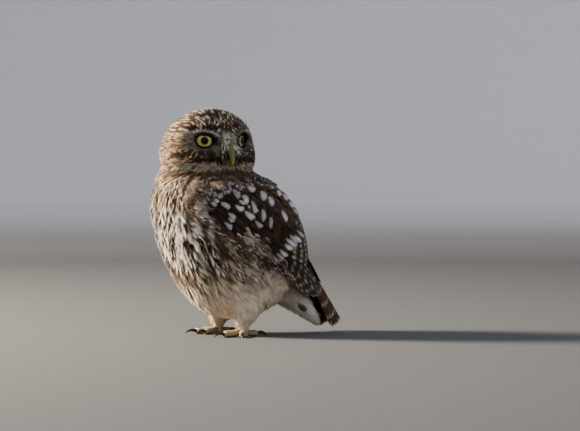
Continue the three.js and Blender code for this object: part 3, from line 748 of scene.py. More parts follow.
def firm_template(pairs, round_tip, fray, rng):
    """A firm feather: pairs of fine barbs that make a whole vane, and a shaft."""
    ribbons = Ribbons(FIRM_ASPECT)
    roots = np.linspace(0.02, 0.95, pairs)
    step = roots[1] - roots[0]
    halves = BARB_THICK * step * (1 - BARB_STATIONS**7)

    def barb(start, bend, end, lift):
        ribbons.add(start, bend, end, [(s, half, lift) for s, half in zip(BARB_STATIONS, halves)], lift)

    for side in (1, -1):
        for i, r in enumerate(roots):
            root = r + 0.3 * step * rng.uniform(-1, 1)
            e = min(r + BARB_SWEEP * (1 - r) + 0.05 + fray * rng.uniform(-1, 0.4), 0.995)
            blunt = np.clip((e - round_tip) / (1 - round_tip), 0, 1) ** 2.2
            wide = (1 - blunt) ** 0.5 * (0.6 + 0.4 * ramp(0.05, 0.5, e))
            wide = wide * (1 + 1.2 * fray * rng.uniform(-1, 0.6))
            bend = (root + 0.42 * (e - root), side * wide * 0.68)
            barb((root, 0), bend, (e, side * wide), 0.05 * (i % 2) + 0.07 * rng.random())
    barb((0.02, 0), (0.5, 0.03 * rng.uniform(-1, 1)), (1, 0), 0.12)
    points, faces = ribbons.arrays()
    shaft, more = shaft_ridge()
    return np.concatenate([points, shaft]), np.concatenate([faces, more + len(points)])


def soft_template(barbs, aspect, thick, rng):
    """Long fine barbs that part from a soft shaft and run forward to a loose round outline."""
    ribbons = Ribbons(aspect)

    def barb(start, bend, end, half, lift):
        sections = [(0, 0.55 * half, 0.4 * lift), (0.55, half, 0.73 * lift)]
        ribbons.add(start, bend, end, sections, lift + 0.06)

    for i in range(barbs):
        side = 1 if i % 2 else -1
        e = 0.4 + 0.6 * ((i + rng.random()) / barbs) ** 0.75
        taper = np.clip((e - 0.35) / 0.67, 0, 1)
        reach = (1 - taper**1.9) ** 0.5 * rng.uniform(0.2, 1.05)
        root = max(e - rng.uniform(0.42, 0.6), 0.0)
        bend = (root + 0.4 * (e - root), 0.9 * side * reach)
        end = (e, side * reach * rng.uniform(0.95, 1.2))
        half = thick * rng.uniform(0.75, 1.2)
        barb((root, 0.12 * side * reach), bend, end, half, 0.16 * rng.random() * (1 - 0.6 * reach))
    barb((0, 0), (0.5, 0.05), (1, 0), 1.2 * thick, 0.14)
    return ribbons.arrays()


# The coat

STEPS = np.linspace(0, 1, 5)  # the stations of a soft feather's spine
TRIES = 4.0  # roots tried for each one that there is room for
CUP = 0.16  # how far a feather's edges bend down, as a share of half its width
PATCH = 0.003  # the width of a feather's patch on the unwrap
LIMIT = 190000  # triangles in one piece of the coat
LOWEST = 0.05  # no feather and no skin reaches lower over the floor

# Soft feathers by size: barbs, length over half width, and half a barb's thickness as a share of the length
BARBS = [(14, 6.6, 0.024), (21, 5.6, 0.018), (34, 5.8, 0.0125)]
SMALL, LARGE = 0, 2  # two of these sizes, by their place in BARBS
SIZE_LIMITS = (5.2, 9.5)  # the lengths from which a feather is a middle or a large one
VARIETY = 6  # templates of each size


class Surface:
    """The closed outline of the flesh, and the nearest point on it."""

    def __init__(self, points, triangles):
        self.normals = vertex_normals(points, triangles)
        self.triangles = triangles
        self.tree = tree_of(points, triangles)

    def nearest(self, points):
        found = [self.tree.find_nearest(Vector(p)) for p in points]
        index = np.array([f[2] for f in found])
        on = np.array([f[0] for f in found])
        return on, unit(self.normals[self.triangles[index]].mean(axis=1))


class SkinMap:
    """The corners of the skin's triangles, in the bird's frame and on its unwrap."""

    def __init__(self, points, triangles, uv):
        self.corners, self.uv = points[triangles], uv
        self.tree = tree_of(points, triangles)

    def at(self, points):
        """The places on the unwrap of the triangles nearest to points."""
        return self.uv.mean(axis=1)[[self.tree.find_nearest(Vector(p))[2] for p in points]]


def tree_of(points, triangles):
    return BVHTree.FromPolygons([Vector(p) for p in points], triangles.tolist())


def spacing_of(place):
    return coat_of(place)[:, 2]


BARE_BALL, BARE_RING = 9.9, 5.6  # from the eye's centre and its line of sight
SOLE_HIGH = 1.5


def bare(place):
    """Where no feather grows: the eyes, the bill's base and under the soles."""
    x, y, z = place.head.T
    on_head = place.headness > 0.5
    eye = (place.eye_deep < BARE_BALL) | ((place.ring < BARE_RING) & on_head)
    bill = (np.abs(x) < 3.0) & (y < -22) & (np.abs(z - 0.5) < 5.0) & on_head
    return eye | bill | (place.z < SOLE_HIGH)


def thrown(skin_map, rng):
    """Roots anywhere on the skin, more where they stand closer: their places, and places on the unwrap."""
    a, b, c = np.moveaxis(skin_map.corners, 1, 0)
    area = np.linalg.norm(np.cross(b - a, c - a), axis=1) / 2
    weight = area / spacing_of(Place((a + b + c) / 3)) ** 2
    count = int(TRIES * weight.sum())
    face = rng.choice(len(area), count, p=weight / weight.sum())
    s, t = rng.random((2, count))
    flip = s + t > 1
    s, t = np.where(flip, 1 - s, s), np.where(flip, 1 - t, t)
    shares = np.stack([1 - s - t, s, t], -1)[..., None]
    return (skin_map.corners[face] * shares).sum(axis=1), (skin_map.uv[face] * shares).sum(axis=1)


def thinned(places, gaps):
    """Which places stay, so that none is nearer than its gap to one that stays before it."""
    near = list(itertools.product((-1, 0, 1), repeat=3))
    keys = np.floor(places / gaps.max()).astype(int).tolist()
    places = places.tolist()
    boxes, kept = {}, []
    for n, (i, j, k) in enumerate(keys):
        others = (q for x, y, z in near for q in boxes.get((i + x, j + y, k + z), ()))
        if all(math.dist(places[n], q) >= gaps[n] for q in others):
            boxes.setdefault((i, j, k), []).append(places[n])
            kept.append(n)
    return kept


def surface_spines(surface, roots, rng):
    """Feathers that run over the outline: their places, lengths, widths and spines.

    Spines are points, sides and normals, each as an array of (feathers, stations, 3).
    """
    place = Place(roots)
    length, wide, _, deep, lift = coat_of(place).T
    length = length * (0.85 + 0.3 * rng.random(len(roots)))
    lift = lift * (0.3 + 1.4 * rng.random(len(roots)))
    stray = 0.16 * rng.standard_normal((len(roots), 1))
    at, normal = surface.nearest(roots)
    rows = []
    for t in STEPS:
        if t > 0:
            at, fresh = surface.nearest(at + heading * (length * STEPS[1])[:, None])
            normal = unit(0.35 * normal + 0.65 * fresh)
        lie = heading_of(Place(at))
        heading = square_to(unit(lie + stray * np.cross(normal, lie)), normal)
        height = lift * t**2 - deep * (1 - t) ** 1.4
        rows.append((at + normal * height[:, None], np.cross(normal, heading) * (wide / 2)[:, None], normal))
    return place, length, wide, [np.stack(row, 1) for row in zip(*rows)]


def spine_rows(path, wide, normals_of):
    """Spines from a path of (stations, feathers, 3), with normals worked out from its points."""
    points = np.stack(path, 1)
    run = unit(np.gradient(points, axis=1))
    normals = square_to(normals_of(points), run)
    return points, np.cross(normals, run) * (wide / 2)[:, None, None], normals


def dress_spines(shape, points, sides, normals):
    """One template's feathers on their spines: vertices (feathers, points, 3)."""
    stations = points.shape[1] - 1
    t = np.clip(shape[:, 0], 0, 1.02) * stations
    i = np.clip(np.floor(t).astype(int), 0, stations - 1)
    f = (t - i)[:, None]

    def along(rows):
        return mix(rows[:, i], rows[:, i + 1], f)

    across, lift = shape[:, 1:2], shape[:, 2:]
    half = along(sides)
    cup = CUP * np.linalg.norm(half, axis=-1, keepdims=True) * across**2
    return along(points) + half * across + along(normals) * (lift - cup)


def patches(shape, roots_uv):
    """Each feather's small patch at its root's place on the unwrap."""
    local = np.stack([np.clip(shape[:, 1], -1, 1) * 0.5, np.clip(shape[:, 0], 0, 1) - 0.5], -1) * PATCH
    return np.clip(roots_uv[:, None, :] + local, 0, 1)


def lays(shape, feathers, rng):
    """Each point's place along and across its feather and a number drawn for the feather."""
    lay = np.empty((feathers, len(shape), 3))
    lay[..., :2] = shape[:, :2]
    lay[..., 2] = rng.random((feathers, 1))
    return lay


class Coat:
    """Feathers gathered for one named part of the plumage, and made as one or more pieces."""

    def __init__(self):
        self.faces, self.columns = [], [[], [], [], []]
        self.count = 0

    def add(self, points, faces, tint, lay, uv):
        feathers, each = points.shape[:2]
        points = np.maximum(points, [-np.inf, -np.inf, LOWEST])
        base = self.count + each * np.arange(feathers)[:, None, None]
        self.faces.append((faces[None] + base).reshape(-1, 3))
        self.count += feathers * each
        for column, values in zip(self.columns, (points, tint, lay, uv)):
            column.append(values.reshape(feathers * each, -1))

    def make(self, name, material):
        faces = np.concatenate(self.faces)
        points, tint, lay, uv = (np.concatenate(column) for column in self.columns)
        for n in range(math.ceil(len(faces) / LIMIT)):
            used, part = np.unique(faces[n * LIMIT : (n + 1) * LIMIT], return_inverse=True)
            part = part.reshape(-1, 3)
            title = name if len(faces) <= LIMIT else f"{name}_{n + 1}"
            mesh_piece(title, points[used], part, material, tint[used], lay[used], uv[used])


class Kinds:
    """The soft feathers' templates, what the feathers grow on, and parts of the coat made of them."""

    def __init__(self, surface, skin_map, rng):
        self.surface, self.skin_map, self.rng = surface, skin_map, rng
        self.templates = [[soft_template(*sizes, rng) for _ in range(VARIETY)] for sizes in BARBS]

    def grow(self, name, size, dressed, spines, roots_uv=None):
        """A named part of the coat, with its feathers' size or sizes, colours and spines."""
        if roots_uv is None:
            roots_uv = self.skin_map.at(spines[0][:, 0])
        size = size + np.zeros(len(roots_uv), int)
        pick = self.rng.integers(0, VARIETY, len(size))
        coat = Coat()
        for s, v in np.ndindex(len(BARBS), VARIETY):
            these = np.flatnonzero((size == s) & (pick == v))
            if not len(these):
                continue
            shape, faces = self.templates[s][v]
            points = dress_spines(shape, *(rows[these] for rows in spines))
            tint = paint({key: value[these] for key, value in dressed.items()}, shape[:, 0], shape[:, 1])
            coat.add(points, faces, tint, lays(shape, len(these), self.rng), patches(shape, roots_uv[these]))
        coat.make(name, PLUMAGE)


COAT_PARTS = ["coat_face", "coat_crown", "coat_breast", "coat_back", "coat_legs"]
LEGS_HIGH = 30


def grow_coat(surface, skin_map):
    """The coat of the whole skin, in named parts."""
    rng = np.random.default_rng(11)
    roots, roots_uv = thrown(skin_map, np.random.default_rng(5))
    feathered = ~bare(Place(roots))
    roots, roots_uv = roots[feathered], roots_uv[feathered]
    kept = thinned(roots, spacing_of(Place(roots)))
    roots, roots_uv = roots[kept], roots_uv[kept]
    place, length, wide, spines = surface_spines(surface, roots, rng)
    dressed = dress(Place(spines[0][:, 3]), flow_of(surface, roots), rng, length, wide)
    size = np.digitize(length, SIZE_LIMITS)
    body = np.where(place.z < LEGS_HIGH, 4, 2 + (place.y > 0))
    part = np.where(place.headness > 0.5, np.where(place.face > 0.3, 0, 1), body)
    kinds = Kinds(surface, skin_map, rng)
    for number, name in enumerate(COAT_PARTS):
        these = np.flatnonzero(part == number)
        of_part = {key: value[these] for key, value in dressed.items()}
        kinds.grow(name, size[these], of_part, [rows[these] for rows in spines], roots_uv[these])
    return kinds


def unwrap(obj):
    """The skin's own unwrap: each triangle's three places on it."""
    bpy.context.view_layer.objects.active = obj
    obj.select_set(True)
    bpy.ops.object.mode_set(mode="EDIT")
    bpy.ops.mesh.select_all(action="SELECT")
    bpy.ops.uv.smart_project(angle_limit=math.radians(66), island_margin=0.002)
    bpy.ops.object.mode_set(mode="OBJECT")
    obj.select_set(False)
    layer = obj.data.uv_layers.active
    layer.name = "OFBake"
    found = np.zeros(len(layer.data) * 2, np.float32)
    layer.data.foreach_get("uv", found)
    return found.reshape(-1, 3, 2)


def build_flesh():
    """The skin, with the coat over it."""
    points, triangles = arrays_of(flesh_mesh())
    points = relax(points, triangles, OUTLINE_ROUNDS)
    surface = Surface(points, triangles)
    place = Place(points)
    deep = coat_of(place)[:, 3] + SKIN_UNDER
    inside = relax(points - surface.normals * deep[:, None], triangles, SKIN_ROUNDS)
    inside[:, 2] = np.maximum(inside[:, 2], LOWEST)
    flow = flow_of(surface, points)
    dressed = dress(place, flow, np.random.default_rng(2))
    share = dressed["marks"] * marks_at(*flow, dressed["fineness"])
    # The skin takes the coat's own colours darkened to four fifths: painted shade under the feathers.
    tint = blend(dressed["ground"], dressed["mark"], share) * 0.8
    skin = mesh_piece("skin", inside, triangles, SKIN, tint)
    uv = unwrap(skin)
    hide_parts(*FLESH)
    return grow_coat(surface, SkinMap(inside, triangles, uv))


# Curves and sheets of the wing and tail, the same as the solids' own

class Curve:
    """A smooth curve through points: a centripetal spline, with its ends carried on straight."""

    def __init__(self, points):
        p = np.array(points, float)
        self.points = np.concatenate([[2 * p[0] - p[1]], p, [2 * p[-1] - p[-2]]])
        self.spans = len(p) - 1

    def at(self, t):
        t = np.clip(np.asarray(t, float), 0, 1) * self.spans
        i = np.clip(np.floor(t).astype(int), 0, self.spans - 1)
        w = (t - i)[..., None]
        p0, p1, p2, p3 = (self.points[i + k] for k in range(4))
        steps = (p1 - p0, p2 - p1, p3 - p2)
        d0, d1, d2 = (np.sqrt(np.linalg.norm(step, axis=-1, keepdims=True)) for step in steps)
        t1 = ((p1 - p0) / d0 - (p2 - p0) / (d0 + d1) + (p2 - p1) / d1) * d1
        t2 = ((p2 - p1) / d1 - (p3 - p1) / (d1 + d2) + (p3 - p2) / d2) * d1
        rest = (-3 * p1 + 3 * p2 - 2 * t1 - t2) * w**2 + (2 * p1 - 2 * p2 + t1 + t2) * w**3
        return p1 + t1 * w + rest

    def tangent(self, t):
        step = 1e-4
        return unit(self.at(np.minimum(t + step, 1)) - self.at(np.maximum(t - step, 0)))


# The torso's outline by height: its front, its back and half its width
TORSO = np.array([
    (13, -3, 4, 4), (15, -16, 16, 15), (22, -29, 30, 25), (30, -37.5, 39, 32), (43, -48, 50, 38),
    (58, -57, 56, 41), (74, -63.5, 55.5, 42.5), (90, -67.5, 51, 42.5), (100, -69.3, 45.5, 41.5),
    (110, -68.5, 38, 39.5), (118, -65.8, 28.5, 36.5),
])
TORSO_FRONT, TORSO_BACK, TORSO_HALF = (track(TORSO[:, [0, k]]) for k in (1, 2, 3))
TORSO_ROUNDNESS = 2.15

WING_LENGTH = 151
WING_LINE = Curve([(31, -47, 110), (42, -26, 98), (46, 2, 80), (34, 36, 57), (13, 70, 30)])
WING_OUT = Curve([
    (0.84, -0.5, 0.2), (0.96, -0.2, 0.15), (0.96, 0.2, 0.1), (0.85, 0.45, 0.15), (0.75, 0.45, 0.45),
])
WING_WRAP = track([(0, 34), (0.25, 44), (0.5, 46), (0.75, 34), (1, 17)])
WING_LOW = track([(0, -9), (0.12, -14), (0.3, -18), (0.5, -18), (0.75, -14), (0.9, -9), (1, -4)])
WING_HIGH = track([(0, 7), (0.12, 20), (0.3, 40), (0.5, 50), (0.7, 39), (0.85, 23), (1, 5)])
WING_CLEAR = track([(-30, 3.6), (10, 3.4), (32, 1.2), (50, 0.4)])
WING_STATION = track([(0, 0), (25, 0.25), (60, 0.5), (103, 0.75), (WING_LENGTH, 1)])


def off_torso(p, clear):
    """Points moved out to a clear distance from the torso where they are nearer."""
    x, y, z = np.moveaxis(p, -1, 0)
    middle = (TORSO_FRONT(z) + TORSO_BACK(z)) / 2
    deep = (TORSO_BACK(z) - TORSO_FRONT(z)) / 2 + clear
    wide = TORSO_HALF(z) + clear
    n = TORSO_ROUNDNESS
    reach = (np.abs(x / wide) ** n + np.abs((y - middle) / deep) ** n) ** (1 / n)
    reach = np.where(reach < 1, np.maximum(reach, 0.05), 1.0)
    return np.stack([x / reach, middle + (y - middle) / reach, z], -1)


def wing_sheet(along, q, height):
    """Points over the left wing: how far along from the shoulder, across upwards, and out from the sheet."""
    along, q, height = np.broadcast_arrays(along, q, height)
    s = WING_STATION(along)
    beyond = np.maximum(along - WING_LENGTH, 0) + np.minimum(along, 0)
    run = WING_LINE.tangent(s)
    out = square_to(WING_OUT.at(s), run)
    up = np.cross(run, out)
    up = np.where(up[..., 2:] > 0, up, -up)
    wrap = WING_WRAP(s)[..., None]
    turn = q[..., None] / wrap
    point = WING_LINE.at(s) + run * beyond[..., None]
    point = point + up * wrap * np.sin(turn) - out * wrap * (1 - np.cos(turn))
    normal = unit(out * np.cos(turn) + up * np.sin(turn))
    return off_torso(point, WING_CLEAR(q)) + normal * height[..., None]


TAIL_ROOT = np.array([0, 58.0, 66.0])
TAIL_RUN = np.array([0, 36.2, -54.6])
TAIL_LENGTH = 64.6
TAIL_WRAP = 12.5


def tail_sheet(along, q, height):
    """Points over the tail, in the same terms as over a wing, with q to the bird's left."""
    along, q, height = np.broadcast_arrays(along, q, height)
    s = along / TAIL_LENGTH
    wrap = TAIL_WRAP + 6 * (1 - s)
    side = (wrap + height) * np.sin(q / wrap)
    lift = (wrap + height) * np.cos(q / wrap) - wrap
    out = unit(np.array([0, -TAIL_RUN[2], TAIL_RUN[1]]))
    return TAIL_ROOT + TAIL_RUN * s[..., None] + [1.0, 0, 0] * side[..., None] + out * lift[..., None]


# Wing and tail feathers

class Vane:
    """What one row of wing or tail feathers shares.

    tip, root and height are functions of n, which runs from 0 to 1 along the row. A spot is its place along
    and across its feather, and its half length and half width there.
    """

    def __init__(self, count, tip, root, height, wide, tilt, spots, pairs=30, round_tip=0.6, fray=0.03,
                 jitter=0.8, spot_share=1.0, ground=mix(DARK, BLACK, 0.5), pale=LILAC):
        self.count, self.tip, self.root, self.height = count, tip, root, height
        self.wide, self.tilt, self.jitter = wide, tilt, jitter
        self.pairs, self.round_tip, self.fray = pairs, round_tip, fray
        self.spots, self.spot_share, self.ground, self.pale = spots, spot_share, ground, pale


def arch(n):
    return np.sin(np.pi * n)


def bars(first, last, count, across, long, wide):
    """Pale bars of a flight feather as a row of spots."""
    return [(at, across, long, wide) for at in np.linspace(first, last, count)]


def on_wing(along, q):
    """A place of the wing's sheet, no higher than the wing itself."""
    return along, min(q, WING_HIGH(WING_STATION(along)) - 1)


FLIGHT_PALE = mix(LILAC, BUFF, 0.5)
WING_ROWS = {
    "primaries": Vane(
        9, lambda n: (126 + 25 * arch(0.06 + 0.62 * n), -10 + 15.5 * n), lambda n: (72, -15 + 8 * n),
        lambda n: 0.1 + 0.7 * n, 9.5, 0.35, bars(0.36, 0.94, 5, -0.72, 0.018, 0.24),
        pairs=90, round_tip=0.82, pale=FLIGHT_PALE),
    "secondaries": Vane(
        10, lambda n: (134 - 34 * n, 9 + 24 * n), lambda n: (72 - 12 * n, -6 + 32 * n),
        lambda n: 0.9 + 0.6 * n, 11.5, 0.35, bars(0.4, 0.9, 4, -0.66, 0.022, 0.26),
        pairs=80, round_tip=0.8, pale=FLIGHT_PALE),
    "tertials": Vane(
        4, lambda n: (96 - 9 * n, 34 + 5 * n), lambda n: (60 - 4 * n, 27 + 9 * n),
        lambda n: 1.5 + 0.2 * n, 12.5, 0.2, [(0.88, -0.3, 0.08, 0.4)],
        pairs=60, round_tip=0.7, ground=mix(DARK, BROWN, 0.3), spot_share=0.7),
    "greater coverts": Vane(
        9, lambda n: (82 + 14 * n, -14 + 34 * n), lambda n: (54 + 8 * n, -13 + 33 * n),
        lambda n: 1.4 + 0.4 * n, 10.5, 0.3, [(0.85, -0.3, 0.15, 0.4)],
        pairs=50, spot_share=0.8, jitter=1.6),
    "median coverts": Vane(
        8, lambda n: (66 + 5 * n, -13 + 32 * n), lambda n: (43, -12 + 30 * n),
        lambda n: 1.7 + 0.4 * n, 10.5, 0.3, [(0.86, -0.2, 0.14, 0.45)],
        pairs=42, spot_share=0.15, jitter=1.6),
    "inner coverts": Vane(
        7, lambda n: (53 + 4 * n, -12 + 29 * n), lambda n: (33, -10 + 26 * n),
        lambda n: 1.95 + 0.2 * n, 10.5, 0.3, [(0.84, -0.1, 0.17, 0.48)],
        pairs=38, spot_share=0.45, jitter=2.2),
    "lesser coverts": Vane(
        7, lambda n: (41 + 3 * n, -12 + 27 * n), lambda n: (22, -10 + 24 * n),
        lambda n: 2.15, 10, 0.25, [(0.82, -0.05, 0.19, 0.5)],
        pairs=36, spot_share=0.5, fray=0.05, jitter=2.2),
    "small coverts": Vane(
        7, lambda n: (31 + 3 * n, -11 + 24 * n), lambda n: (14, -8 + 20 * n),
        lambda n: 2.3, 9, 0.2, [(0.82, 0.05, 0.17, 0.48)],
        pairs=32, spot_share=0.5, fray=0.07, jitter=2.0),
    "marginal coverts": Vane(
        7, lambda n: (22 + 3 * n, -9 + 22 * n), lambda n: (6, -5 + 15 * n),
        lambda n: 2.35, 8.5, 0.15, [(0.82, 0.0, 0.19, 0.5)],
        pairs=28, spot_share=0.45, fray=0.1, jitter=1.8),
    "bend": Vane(
        6, lambda n: (14, -7 + 17 * n), lambda n: (0, -3 + 8 * n),
        lambda n: 2.3, 7.5, 0.1, [(0.82, 0.0, 0.17, 0.5)],
        pairs=24, spot_share=0.4, fray=0.14, jitter=1.4),
    "lower scapulars": Vane(
        7, lambda n: (14 + 58 * n, 14 - 11 * n), lambda n: on_wing(56 * n, 20),
        lambda n: 2.55, 11, 0.1, [(0.8, 0.0, 0.22, 0.52)],
        pairs=44, ground=mix(DARK, BROWN, 0.1), fray=0.05, jitter=1.6, spot_share=0.85),
    "upper scapulars": Vane(
        7, lambda n: (25 + 56 * n, 26 - 7 * n), lambda n: on_wing(8 + 54 * n, 29 + 3 * arch(n)),
        lambda n: 2.75, 12.5, 0.05, [(0.79, -0.05, 0.2, 0.56)],
        pairs=46, ground=mix(DARK, BROWN, 0.25), fray=0.05, jitter=1.6, spot_share=0.9),
    "top scapulars": Vane(
        6, lambda n: (38 + 46 * n, 36 + 3 * arch(n)), lambda n: on_wing(19 + 44 * n, 33 + 10 * arch(n)),
        lambda n: 2.9, 12.5, 0.0, [(0.8, 0.0, 0.17, 0.5)],
        pairs=46, ground=mix(DARK, BROWN, 0.4), fray=0.05, jitter=1.4, spot_share=0.9),
}


def spotted(row, spots, light, along, across, drawn):
    """A firm feather's colours: its ground, pale drops, a dark shaft and a worn pale edge."""
    off = np.abs(across)
    colour = blend(row.ground, mix(BROWN, TAWNY, 0.5), 0.3 * ramp(0.1, 0.8, off) * ramp(0.2, 0.8, along))
    edge = ramp(0.84, 0.97, np.maximum(off, ramp(0.9, 1.0, along)))
    colour = blend(colour, mix(BUFF, BROWN, 0.3), 0.4 * edge)
    for at, c, long, wide in spots:
        s = (along - at - 0.02 * drawn[0]) / (long * (1.1 + 0.3 * drawn[2]))
        s = np.where(s < 0, 0.8 * s, s)
        room = wide * (1.15 + 0.25 * drawn[3]) * np.clip(0.85 + 0.3 * s, 0.4, 1.1)
        reach = np.hypot(s, (across - c - 0.1 * drawn[1]) / room)
        middle, rim = mix(WHITE, row.pale, 0.65 + 0.3 * drawn[1]), mix(row.pale, GREY, 0.5) * 0.9
        spot = blend(middle, rim, ramp(0.2, 1.0, reach) * ramp(0.06, 0.25, off))
        colour = blend(colour, spot, ramp(1.12, 0.92, reach))
    return blend(colour, row.ground * 0.55, 0.4 * ramp(0.06, 0.03, off)) * light


def tile(number, total):
    """The low corner and the width of one feather's own square of a map that many share."""
    across = math.ceil(math.sqrt(total))
    return np.array([number % across, number // across]) / across, 1 / across


ROOT_SINK = 0.6  # how far under the sheet a firm feather's root lies
CAMBER = 0.45  # how much higher its middle is than its edges
UNDER_SOLID = 0.35  # how far under the solid's own surface the barbs start


def vane_lie(row, n, shape, rng):
    """Where a feather of a row lies on its sheet: along it, across it and out from it."""
    t, c, lift = shape.T
    tip = np.array(row.tip(n)) + row.jitter * rng.uniform(-1, 1, 2)
    root = np.array(row.root(n))
    half = row.wide / 2 * rng.uniform(0.94, 1.06)
    height = row.height(n) + 0.08 * rng.uniform(-1, 1)
    along, q = (root + (tip - root) * t[:, None]).T
    sink = (height + ROOT_SINK) * (1 - np.clip(t, 0, 1)) ** 2
    camber = CAMBER * (1 - c**2)
    height = height * mix(0.4, 1.0, ramp(-4, 26, along))
    return along, q + half * c, height - sink - row.tilt * c + camber - UNDER_SOLID + 0.5 * lift


def mirror(points, faces, side):
    """Points and triangles of the left side as they are or, for side -1, turned over to the right."""
    return points * [side, 1, 1], faces[:, ::side]


def lay_vanes(rows, sheet, name, side, seed):
    """Rows of firm feathers on a sheet, as one piece."""
    rng = np.random.default_rng(seed)
    total = sum(row.count for row in rows)
    coat = Coat()
    number = 0
    for row in rows:
        templates = [firm_template(row.pairs, row.round_tip, row.fray, rng) for _ in range(3)]
        for n in np.linspace(0, 1, row.count):
            shape, faces = templates[rng.integers(3)]
            points, faces = mirror(sheet(*vane_lie(row, n, shape, rng)), faces, side)
            t, c = shape[:, 0], shape[:, 1]
            spots = row.spots if rng.random() < row.spot_share else []
            tint = spotted(row, spots, rng.uniform(0.85, 1.15), t, c, rng.uniform(-1, 1, 4))
            lay = np.stack([t, c, np.full(len(t), rng.random())], -1)
            corner, wide = tile(number, total)
            uv = corner + wide * np.stack([0.5 + 0.45 * np.clip(c, -1, 1), 0.05 + 0.9 * np.clip(t, 0, 1)], -1)
            coat.add(points[None], faces, tint[None], lay[None], uv[None])
            number += 1
    coat.make(name, VANES)


def skin_rings(rings, closed_ends=True):
    """Triangles over rings of points, each end closed by a fan."""
    rings = np.array(rings)
    count, around = rings.shape[:2]
    points = rings.reshape(-1, 3)
    a = np.arange(around)
    b = (a + 1) % around
    strip = np.stack([a, b, a + around, b, b + around, a + around], -1).reshape(-1, 3)
    faces = [strip + around * r for r in range(count - 1)]
    if closed_ends:
        hub, last = 0 * a + len(points), around * (count - 1)
        faces += [np.stack([b, a, hub], -1), np.stack([a + last, b + last, hub + 1], -1)]
        points = np.concatenate([points, rings[[0, -1]].mean(axis=1)])
    return points, np.concatenate(faces)


def bed_rings(sheet, sections):
    """Rings of a flat closed bed under feathers, from (along, q, top, low) of each section."""
    return [np.concatenate([sheet(a, q, top), sheet(a, q[::-1], low)]) for a, q, top, low in sections]


BED_ALONG = (2, 140)
BED_UNDER = 0.15  # how far under the wing's sheet the bed's top is


def wing_sections():
    """Sections of the dark bed under a wing's feathers, which thins out toward the wing's tip."""
    shares = np.linspace(0, 1, 18)
    for along in np.linspace(*BED_ALONG, 60):
        s = WING_STATION(along)
        thick = mix(2.2, 0.3, ramp(70, 130, along))
        q = mix(WING_LOW(s) + 1.5, WING_HIGH(s) - 3, shares)
        yield along, q, -BED_UNDER, -BED_UNDER - thick


def tail_sections():
    """Sections of the dark bed under the tail's feathers."""
    for s in np.linspace(0, 0.9, 24):
        q = np.linspace(-11 - 3 * s, 11 + 3 * s, 14)
        fall = 0.2 * np.abs(q)
        yield s * TAIL_LENGTH, q, -1.0 - fall, -2.8 - fall


def build_wing(side):
    word = word_of(side)
    points, faces = mirror(*skin_rings(bed_rings(wing_sheet, wing_sections())), side)
    # The bed's colour, darker than any feather, is painted shade in the gaps between the feathers.
    tint = plain(DARK * 0.6, len(points))
    bed = mesh_piece(f"wing_bed_{word}", points, faces, SKIN, tint)
    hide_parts(f"wing_{word}")
    seed = 21 if side > 0 else 22
    lay_vanes(WING_ROWS.values(), wing_sheet, f"wing_feathers_{word}", side, seed)


TAIL_BARS = bars(0.25, 0.82, 4, -0.5, 0.025, 0.3) + bars(0.25, 0.82, 4, 0.5, 0.025, 0.3)


def tail_row(side):
    """Six tail feathers of one side: the middle one lies on top and each next one under the one before."""
    return Vane(
        6, lambda n: (67.5 - n, side * (2.6 + 15 * n)), lambda n: (8, side * (1.5 + 11 * n)),
        lambda n: -0.35 - 3.1 * n + (0.3 if side > 0 and n == 0 else 0), 10.5, -0.2 * side, TAIL_BARS,
        pairs=90, round_tip=0.86, ground=mix(DARK, BROWN, 0.6), jitter=0.3, pale=mix(BUFF, TAWNY, 0.3))


def build_tail():
    points, faces = skin_rings(bed_rings(tail_sheet, tail_sections()))
    # The bed's colour, darker than any feather, is painted shade in the gaps between the feathers.
    bed = mesh_piece("tail_bed", points, faces, SKIN, plain(DARK * 0.7, len(points)))
    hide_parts("tail")
    lay_vanes([tail_row(1), tail_row(-1)], tail_sheet, "tail_feathers", 1, 31)


# Eyes, lids and bill

def eye_material():
    """Iris, pupil and rim by the angle from where the eye looks, which lay holds with the angle round it."""
    n = Nodes("owl_eye")
    lay = n.lay()
    ray = n.add("ShaderNodeCombineXYZ", inputs={0: n.multiplied(lay[0], 0.05), 1: lay[1], 2: lay[2]})
    fibres = n.mapped(n.noise(ray.outputs[0], 9.0, 3.0), -0.4, 1.3)

    def stepped(low, high, inside, outside):
        """One colour up to an angle and another from a larger one."""
        limits = {"Value": lay[0], "From Min": low, "From Max": high}
        step = n.add("ShaderNodeMapRange", interpolation_type="SMOOTHSTEP", inputs=limits)
        return n.mixed(step.outputs[0], inside, outside)

    # The pupil's faint blue is a painted reflection of the sky; the same near-black covers the ball beyond
    # the iris.
    dark = (*srgb(9, 11, 17), 1)
    yellow = n.mixed(fibres, (*srgb(182, 180, 96), 1), (*srgb(228, 226, 160), 1))
    colour = stepped(19.0, 26.0, (*srgb(150, 140, 62), 1), yellow)
    colour = stepped(38.0, 47.0, colour, (*srgb(92, 88, 40), 1))
    colour = stepped(17.5, 19.5, dark, stepped(46.0, 50.0, colour, dark))
    coat = {"Coat_Weight": 0.5, "Coat_Roughness": 0.03, "Coat_IOR": 1.34}
    return n.finish(colour, Roughness=0.3, Specular_IOR_Level=0.2, **coat)


EYE = eye_material()
LID = grained_material("owl_lid", 2600.0, 0.5, 0.7, (srgb(28, 26, 25), srgb(58, 52, 46)))
HORN = grained_material("owl_bill", 900.0, 0.38, 0.15, Coat_Weight=0.25, Coat_Roughness=0.25)
CLAW = grained_material("owl_claw", 500.0, 0.3, 0.1, (srgb(30, 26, 24), srgb(72, 62, 54)), Coat_Weight=0.3)
HIDE = grained_material("owl_foot", 2400.0, 0.75, 0.8)

PUPIL_BULGE = 0.3  # how far the cornea stands out of the ball
BALL_TURNS, BALL_ANGLES = 72, 60
# The lids' opening by the turn from the outer corner over the top, as the angle from where the eye looks
LID_OPENING = track([
    (0, 44), (45, 33), (90, 22), (135, 30), (180, 46), (225, 36), (270, 29), (315, 34), (360, 44),
])
LID_END = 68.0  # where the lids are lost in the plumage
LID_RADIUS = EYE_RADIUS + 0.45
LID_TURNS = 120
